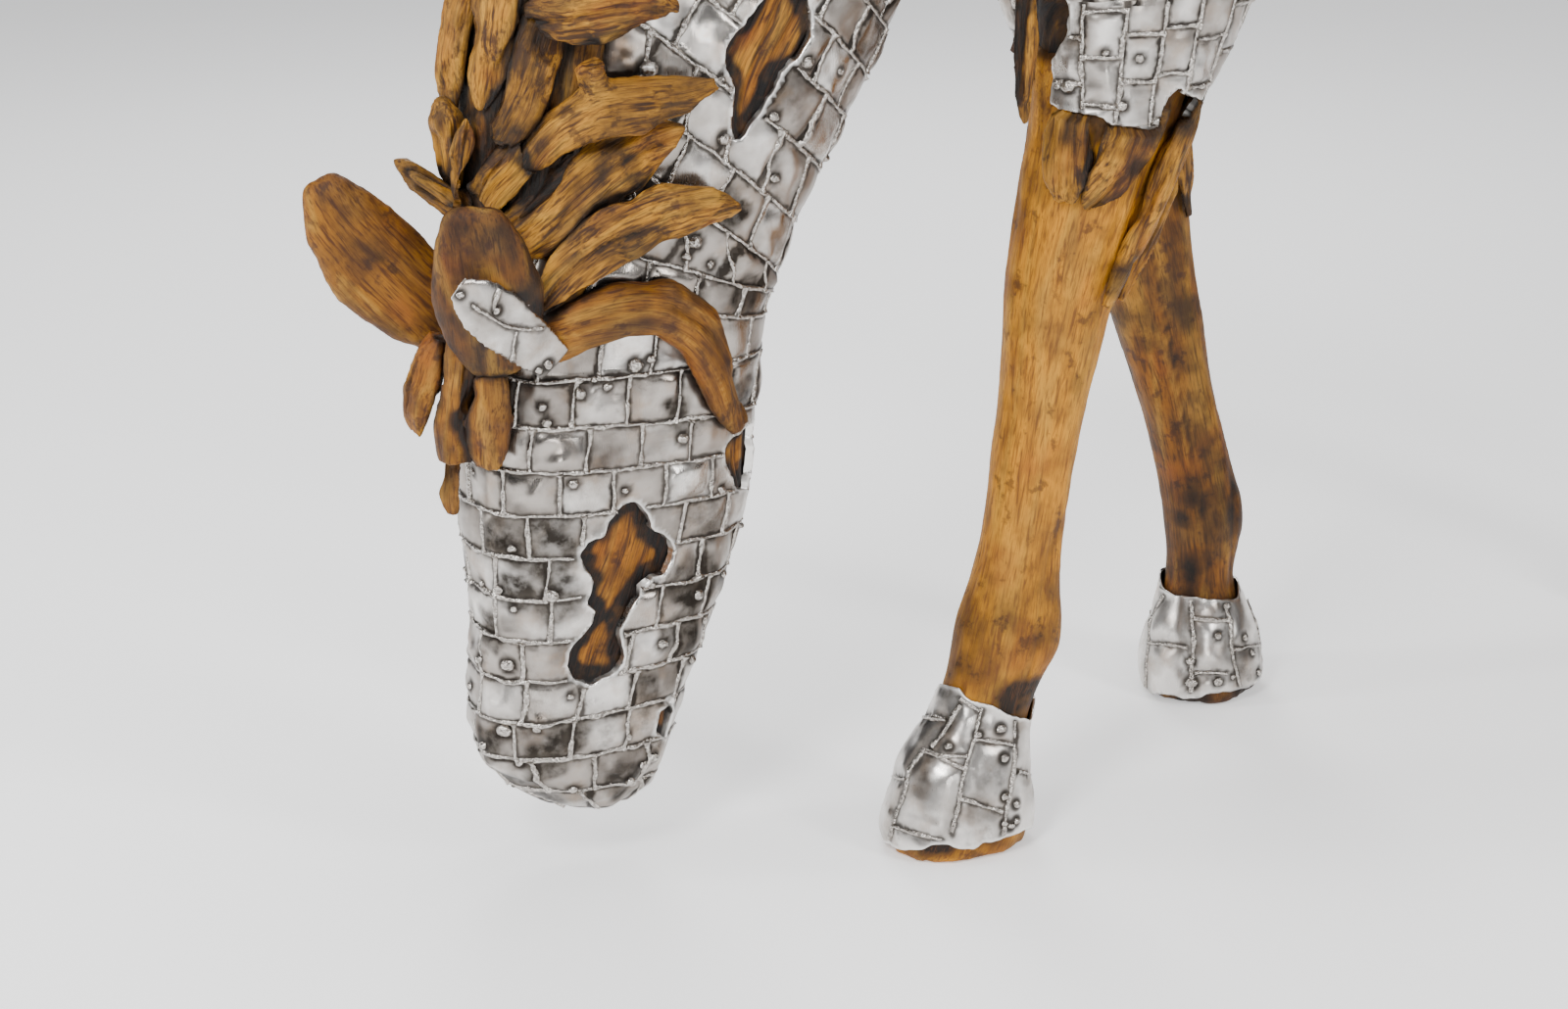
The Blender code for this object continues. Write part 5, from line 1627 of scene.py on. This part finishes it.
# %% Mane, forelock, tail and forearm pieces
FINE, COARSE, TAIL = 0.0033, 0.0068, 0.0088
LOCK_NODES = sorted(
    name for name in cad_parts
    if name.startswith(("mane_", "forelock_", "brow_", "tail_", "near_forearm", "far_forearm"))
)
LOOSE_WOOD = [*LOCK_NODES, "near_ear", "far_ear"]
for index, name in enumerate(LOCK_NODES):
    if name == "brow_piece":
        carved_piece(name, smooth_brow_teak, FINE, 0.0018, 0.016, index, 0.4, rounds=6, swell=0.004)
        continue
    dark = name.startswith(("mane_bed", "tail", "mane_right", "mane_crest"))
    hidden = name.startswith(("mane_bed", "mane_right", "mane_crest", "mane_upper"))
    voxel = TAIL if name.startswith("tail") else COARSE if hidden else FINE
    flats = 5 if "_forearm_" in name else 16
    material = smooth_brow_teak if name.startswith("forelock") else brown_teak if dark else oiled_teak
    carved_piece(name, material, voxel, 0.0032, 0.013, index, flats=flats)

# %% Ears
EAR_LOOKS = {"near_ear": (smooth_dark_teak, 0.85), "far_ear": (smooth_brow_teak, 0.45)}
for index, (name, (material, strength)) in enumerate(EAR_LOOKS.items()):
    carved_piece(name, material, 0.005, 0.0010, 0.020, 60 + index, strength, rounds=40, levels=1,
                 swell=0.007)

# %% [markdown]
# ## Legs
#
# The legs are planed much smoother than the mane, with long soft grain, and the torch has darkened them
# toward the hooves. Each hoof is one with its leg. The two forelegs are the ones that the photo shows, so
# they are made finer than the hind legs.

# %% Legs
# Each leg: its teak, how charred it is, and the size of the remesh.
LEG_LOOKS = {
    "near_foreleg": (planed_teak, 0.40, 0.009), "far_foreleg": (planed_brown_teak, 0.70, 0.012),
    "left_hind_leg": (planed_teak, 0.40, 0.016), "right_hind_leg": (planed_brown_teak, 0.40, 0.016),
}
FOOT_HEIGHT = 0.04
# The torch has darkened the shins from the first height down, and most of all below the second.
SINGED_BELOW = 0.40
CHARRED_BELOW = 0.14

hoof_forms = {}
for index, (leg, (material, strength, voxel)) in enumerate(LEG_LOOKS.items()):
    piece = smooth_form(leg + "_carving", joined([leg]), voxel, 9, 1)
    # Smoothing rounds the sole, so the foot is let down to the floor again.
    points = points_of(piece)
    lowest = points[:, 2].min()
    share = np.clip(1 - points[:, 2] / FOOT_HEIGHT, 0, 1)
    points[:, 2] -= lowest * share
    move_points(piece, points)
    tuck_under(piece, 0.012)
    hoof_forms[leg] = piece.data.copy()
    points, hollow = carve(piece, 0.0016, 0.016, 80 + index, reach=0.25)
    char_and_shade = burn_of(points, hollow, 80 + index, strength)
    # Painted shade where the leg meets the steel.
    char_and_shade = np.maximum(char_and_shade, shade_beside_steel(points, 0.006))
    low = 1 - soft_step(points[:, 2], CHARRED_BELOW, SINGED_BELOW)
    char_and_shade = np.maximum(char_and_shade, low * (0.80 + 0.9 * drift(points, 0.030, index)))
    write_values(piece, "char_and_shade", "FLOAT", "POINT", np.clip(char_and_shade, 0, 1))
    finish_piece(piece, material, replaces=(leg,))

# %% [markdown]
# ## Wood in the windows
#
# Behind each torn opening lies the teak form that the steel was beaten over. It is a patch of the same
# surface as the sheet round it, set back and carved, and charred along the rim where the torch cut and
# the welds ran. So it follows the horse's form wherever the opening is.

# %% Window wood
WOOD_DEPTH = 0.0060
WOOD_MARGIN = 0.012
HOSTS = {"rib": "trunk_skin", "haunch": "trunk_skin", "forearm": "near_foreleg_cuff_skin"}
for index, (name, outline) in enumerate(OUTLINES.items()):
    host = next((skin_name for part, skin_name in HOSTS.items() if part in name), "head_and_neck_skin")
    shape = shape_of(uncut[host])
    outside = outside_by(outline, np.array([vertex.co for vertex in shape.verts]))
    gone = [vertex for vertex, value in zip(shape.verts, outside) if value > WOOD_MARGIN]
    bmesh.ops.delete(shape, geom=gone, context="VERTS")
    piece = baked(divided(to_object(name + "_carving", shape), 2 if host == "trunk_skin" else 1))
    move_points(piece, points_of(piece) - normals_of(piece) * WOOD_DEPTH)
    points, hollow = carve(piece, 0.0024, 0.010, 100 + index)
    ring = min(0.009, 0.2 * np.linalg.norm(outline[4], axis=1).max())
    inside = -outside_by(outline, points) + 0.005 * drift(points, 0.014, index)
    rim = 1 - soft_step(inside, ring, 2.2 * ring)
    # Painted shade: the wood seen in the gap beside the near forearm is darkened all over.
    char_and_shade = np.clip(burn_of(points, hollow, 100 + index, 0.5) + rim + 0.8 * ("gap" in name), 0, 1)
    write_values(piece, "char_and_shade", "FLOAT", "POINT", char_and_shade)
    finish_piece(piece, charred_teak, replaces=(name,) if name in WINDOWS else ())

# %% [markdown]
# ## Boots
#
# Each boot is sheet beaten over the hoof, so it is grown from the hoof's own smooth surface, and torn
# open below, where the teak sole shows, and above, at the pastern. Its edges and seams are traced where
# the photo shows them. Behind, and on the hind hooves, plain strips run down the hoof.

# %% Boot traces
BOOT_TOPS = {"near_foreleg": 0.165, "far_foreleg": 0.146, "left_hind_leg": 0.152, "right_hind_leg": 0.152}
BOOT_SLOPE = 0.12
SOLE = 0.020
BOOT_TRACES = {
    "near_foreleg": {
        "top": ((955, 700), (963, 697), (979, 704), (982, 711), (991, 717), (1014, 721), (1035, 731),
                (1049, 735)),
        "bottom": ((902, 861), (908, 862), (920, 867), (940, 867), (950, 863), (967, 862), (974, 865),
                   (995, 867), (1001, 861), (1022, 857), (1038, 851)),
        "seams": (
            ((942, 766), (936, 774), (928, 786), (924, 806), (915, 831), (908, 855)),
            ((979, 719), (966, 742), (950, 763)),
            ((1003, 724), (994, 754), (987, 774), (981, 798), (979, 822), (971, 851)),
            ((1036, 736), (1036, 774), (1031, 809), (1026, 830), (1023, 853)),
            ((942, 766), (956, 772), (986, 772)), ((960, 774), (985, 786)), ((995, 755), (1034, 760)),
            ((980, 815), (1022, 829)), ((912, 842), (947, 855), (960, 858)), ((907, 791), (924, 795)),
            ((940, 731), (966, 734)), ((979, 713), (1000, 727)), ((1038, 787), (1054, 791)),
        ),
        "blobs": ((1021, 744, 6), (1025, 774, 6), (1025, 813, 5), (968, 762, 5), (998, 750, 5),
                  (1025, 841, 5), (1037, 821, 5), (1037, 838, 5), (1031, 843, 5)),
    },
    "far_foreleg": {
        "top": ((1189, 603), (1201, 608), (1221, 609), (1248, 612), (1259, 610)),
        "bottom": ((1176, 708), (1199, 708), (1207, 713), (1223, 713), (1230, 708), (1262, 705),
                   (1273, 701)),
        "seams": (
            ((1189, 608), (1180, 621), (1174, 633), (1172, 655), (1169, 677), (1170, 700)),
            ((1216, 611), (1216, 633), (1218, 658), (1214, 682), (1215, 705)),
            ((1250, 619), (1255, 633), (1256, 656), (1260, 678), (1265, 702)),
            ((1271, 612), (1282, 641), (1287, 662), (1292, 690)),
            ((1172, 656), (1211, 660)), ((1218, 631), (1253, 633)), ((1218, 687), (1252, 687)),
            ((1258, 662), (1286, 658)), ((1161, 618), (1174, 625)),
        ),
        "blobs": ((1243, 649, 6), (1270, 651, 5), (1278, 666, 5), (1284, 686, 5), (1243, 696, 6),
                  (1258, 691, 4), (1216, 697, 8), (1215, 675, 6), (1251, 619, 5)),
    },
}


# %% Edges and seams of the boots
# The part of a boot that the photo shows is turned less than this away from the camera.
FACING = math.radians(95)
BOOT_PLATE = 0.041
BOOT_CUT = 0.24
BOOT_WALL = 0.8


def hoof_lines(leg):
    """Level lines round a hoof, from above its collar to the ground."""
    places = read_places(hoof_forms[leg].vertices)
    lines = []
    for height in np.linspace(0.21, 0.0, 8):
        ring = places[np.abs(places[:, 2] - height) < 0.016]
        lines.append((ring[:, 0].min(), height, ring[:, 0].max(), height))
    low = places[places[:, 2] < 0.1]
    return lines, (low[:, 1].min() + low[:, 1].max()) / 2


def edge_height(tree, middle, places, pixels, plain):
    """The height of a boot's edge beside each place: traced where the photo shows it, and plain behind."""
    if not pixels:
        return plain
    spots = np.array(trace_line(tree, pixels, 6.0))
    turns = turn_from_camera(spots, *middle)
    order = np.argsort(turns)
    here = turn_from_camera(places, *middle)
    seen = np.interp(here, turns[order], spots[order, 2])
    behind = soft_step(np.maximum(turns.min() - here, here - turns.max()), 0.0, 0.6)
    return seen * (1 - behind) + plain * behind


def inside_boot(leg, tree, middle, places):
    """How far inside a boot's two edges each place is: below zero where the sheet ends."""
    traces = BOOT_TRACES.get(leg, {})
    top = BOOT_TOPS[leg] - BOOT_SLOPE * (places[:, 0] - middle[0]) + 0.005 * drift(places, 0.03, 6)
    bottom = SOLE + 0.004 * drift(places, 0.035, 7)
    top = edge_height(tree, middle, places, traces.get("top"), top)
    bottom = edge_height(tree, middle, places, traces.get("bottom"), bottom)
    ragged = 0.0016 * drift(places, 0.009, 8)
    return np.minimum(top - places[:, 2], places[:, 2] - bottom) + ragged


def boot_edges(plating, middle, knots, places, strip, number):
    """The distances to the plain seams behind a boot, and to the traced ones in front."""
    edges = plating.edges(places, strip, number)
    if knots:
        edges[np.abs(turn_from_camera(places, *middle)) < FACING] = NO_SEAM
        edges[:, 0] = np.minimum(np.abs(edges[:, 0]), gap_to(knots, places))
    return edges


# %% Sheet of the boots
def boot_sheet(leg, name):
    """The hoof's surface as far up as a boot goes, moved out by the thickness of the sheet."""
    shape = shape_of(hoof_forms[leg])
    gone = [vertex for vertex in shape.verts if vertex.co.z > BOOT_CUT]
    bmesh.ops.delete(shape, geom=gone, context="VERTS")
    piece = to_object(name, shape)
    if leg == "near_foreleg":
        baked(divided(piece, 1))
    move_points(piece, points_of(piece) + normals_of(piece) * SHEET)
    return piece


def thicken(piece, inside):
    """Cuts a surface off where its number is below zero, and gives the rest a wall."""
    shape = shape_of(piece.data)
    cut_at_zero(shape, dict(zip(shape.verts, inside)))
    shape.to_mesh(piece.data)
    shape.free()
    wall = piece.modifiers.new("Sheet", "SOLIDIFY")
    wall.thickness = SHEET * BOOT_WALL
    wall.offset = -1.0
    baked(piece)


def write_steel(piece, edges, luck, rim_highlight, soot):
    """Stores the values that the steel's material reads."""
    write_values(piece, "plate_edges", "FLOAT_COLOR", "CORNER", edges)
    write_values(piece, "plate_chance", "FLOAT_VECTOR", "FACE", luck)
    write_values(piece, "torn_rim_highlight", "FLOAT", "POINT", rim_highlight)
    write_values(piece, "soot", "FLOAT", "POINT", soot)
    write_values(piece, "smoke_and_shade", "FLOAT", "POINT", soft_step(drift(points_of(piece), 0.04, 5), 0.3, 0.9))


# %% Boots
for index, leg in enumerate(LEGS):
    boot_name = leg.replace("leg", "hoof_boot")
    traces = BOOT_TRACES.get(leg, {})
    lines, middle_y = hoof_lines(leg)
    middle = ((lines[2][0] + lines[2][2]) / 2, middle_y)
    plating = Plating(lines, middle_y, BOOT_PLATE, 9 + index, lengthwise=True)
    piece = boot_sheet(leg, boot_name + "_skin")
    tree = surface_of(piece)
    plating.fit(tree)
    seams = [trace_line(tree, pixels) for pixels in traces.get("seams", ())]
    knots = [spot for seam in seams for spot in seam]
    points, normals = points_of(piece), normals_of(piece)
    edges = boot_edges(plating, middle, knots, points, *plating.plate_of(points))
    near = np.abs(edges).min(1)
    rise = 0.0022 * soft_step(near, 0, 0.016) + 0.0020 * drift(points, 0.045, 3)
    move_points(piece, points + normals * rise[:, None])
    thicken(piece, inside_boot(leg, tree, middle, points_of(piece)))

    def in_front(places):
        return inside_boot(leg, tree, middle, places) > 0.0015

    def behind(places):
        away = np.abs(turn_from_camera(places, *middle)) > (FACING if knots else 0.0)
        return in_front(places) & away

    boot_tree = surface_of(piece)
    runs = bead_runs(boot_tree, plating.seams(boot_tree, 0.0045), behind, 90 + index)
    if seams:
        runs += bead_runs(boot_tree, [(seam, True) for seam in seams], in_front, 95 + index)
    finish_piece(bead_curve(boot_name + "_weld_beads", runs, 1), bead_steel)
    points, middles = points_of(piece), middles_of(piece)
    faces, corners = corners_of(piece)
    strip, number = plating.plate_of(middles)
    edges = boot_edges(plating, middle, knots, corners, strip[faces], number[faces])
    luck = luck_of(np.stack([strip, number, strip * 0 + 20 + index], 1).astype(float))
    soot = np.zeros(len(points))
    if traces:
        # The plates that the photo shows are all pale.
        luck[np.abs(turn_from_camera(middles, *middle)) < FACING] = (0.02, 0.45, 0.30)
        places, normals, radii = traced_blobs(boot_tree, traces["blobs"])
        blobs = weld_blobs(boot_name + "_weld_blobs", places, normals, radii)
        finish_piece(blobs, bead_steel)
        soot = soot_round(points, places, radii)
    # Painted highlight along the torn edges of the boot.
    rim_highlight = 1 - soft_step(inside_boot(leg, tree, middle, points), 0.001, 0.005)
    write_steel(piece, edges, luck, rim_highlight, soot)
    finish_piece(piece, clad_steel, replaces=(boot_name,))

# %% [markdown]
# ## The steel leaf at the ear
#
# A folded offcut of sheet sits at the foot of the near ear, with a painted highlight along its cut rim,
# and a few beads. It keeps the solid's form, softened a little, and its seams and blobs are traced.

# %% Ear leaf
LEAF_SEAMS = (
    ((482, 311), (491, 318), (499, 322), (508, 328), (517, 333), (528, 335), (538, 336), (554, 336)),
    ((528, 338), (525, 356), (523, 367)),
    ((510, 295), (506, 306), (505, 317)),
)
LEAF_BLOBS = ((507, 317, 5), (559, 372, 6), (550, 378, 5), (470, 301, 4), (542, 305, 3.5))
leaf = smooth_form("near_ear_leaf_sheet", joined(["near_ear_steel_leaf"]), 0.0026, 10, 0)
leaf_tree = surface_of(leaf)
seams = [trace_line(leaf_tree, pixels) for pixels in LEAF_SEAMS]
runs = bead_runs(leaf_tree, [(seam, True) for seam in seams], lambda places: places[:, 2] > 0, 120)
finish_piece(bead_curve("near_ear_leaf_weld_beads", runs, 1), bead_steel)
places, normals, radii = traced_blobs(leaf_tree, LEAF_BLOBS)
finish_piece(weld_blobs("near_ear_leaf_weld_blobs", places, normals, radii), bead_steel)
points = points_of(leaf)
out = np.linalg.svd(points - points.mean(0), full_matrices=False)[2][2]
# Painted highlight along the leaf's cut rim, where its surface turns edge-on.
rim_highlight = soft_step(1 - np.abs(normals_of(leaf) @ out), 0.55, 0.9)
corner_points = read_counts(leaf.data.loops, "vertex_index")
edges = np.full((len(corner_points), 4), NO_SEAM)
edges[:, 0] = gap_to([spot for seam in seams for spot in seam], points)[corner_points]
luck = np.full((len(leaf.data.polygons), 3), 0.25)
write_steel(leaf, edges, luck, rim_highlight, soot_round(points, places, radii))
finish_piece(leaf, clad_steel, replaces=("near_ear_steel_leaf",))
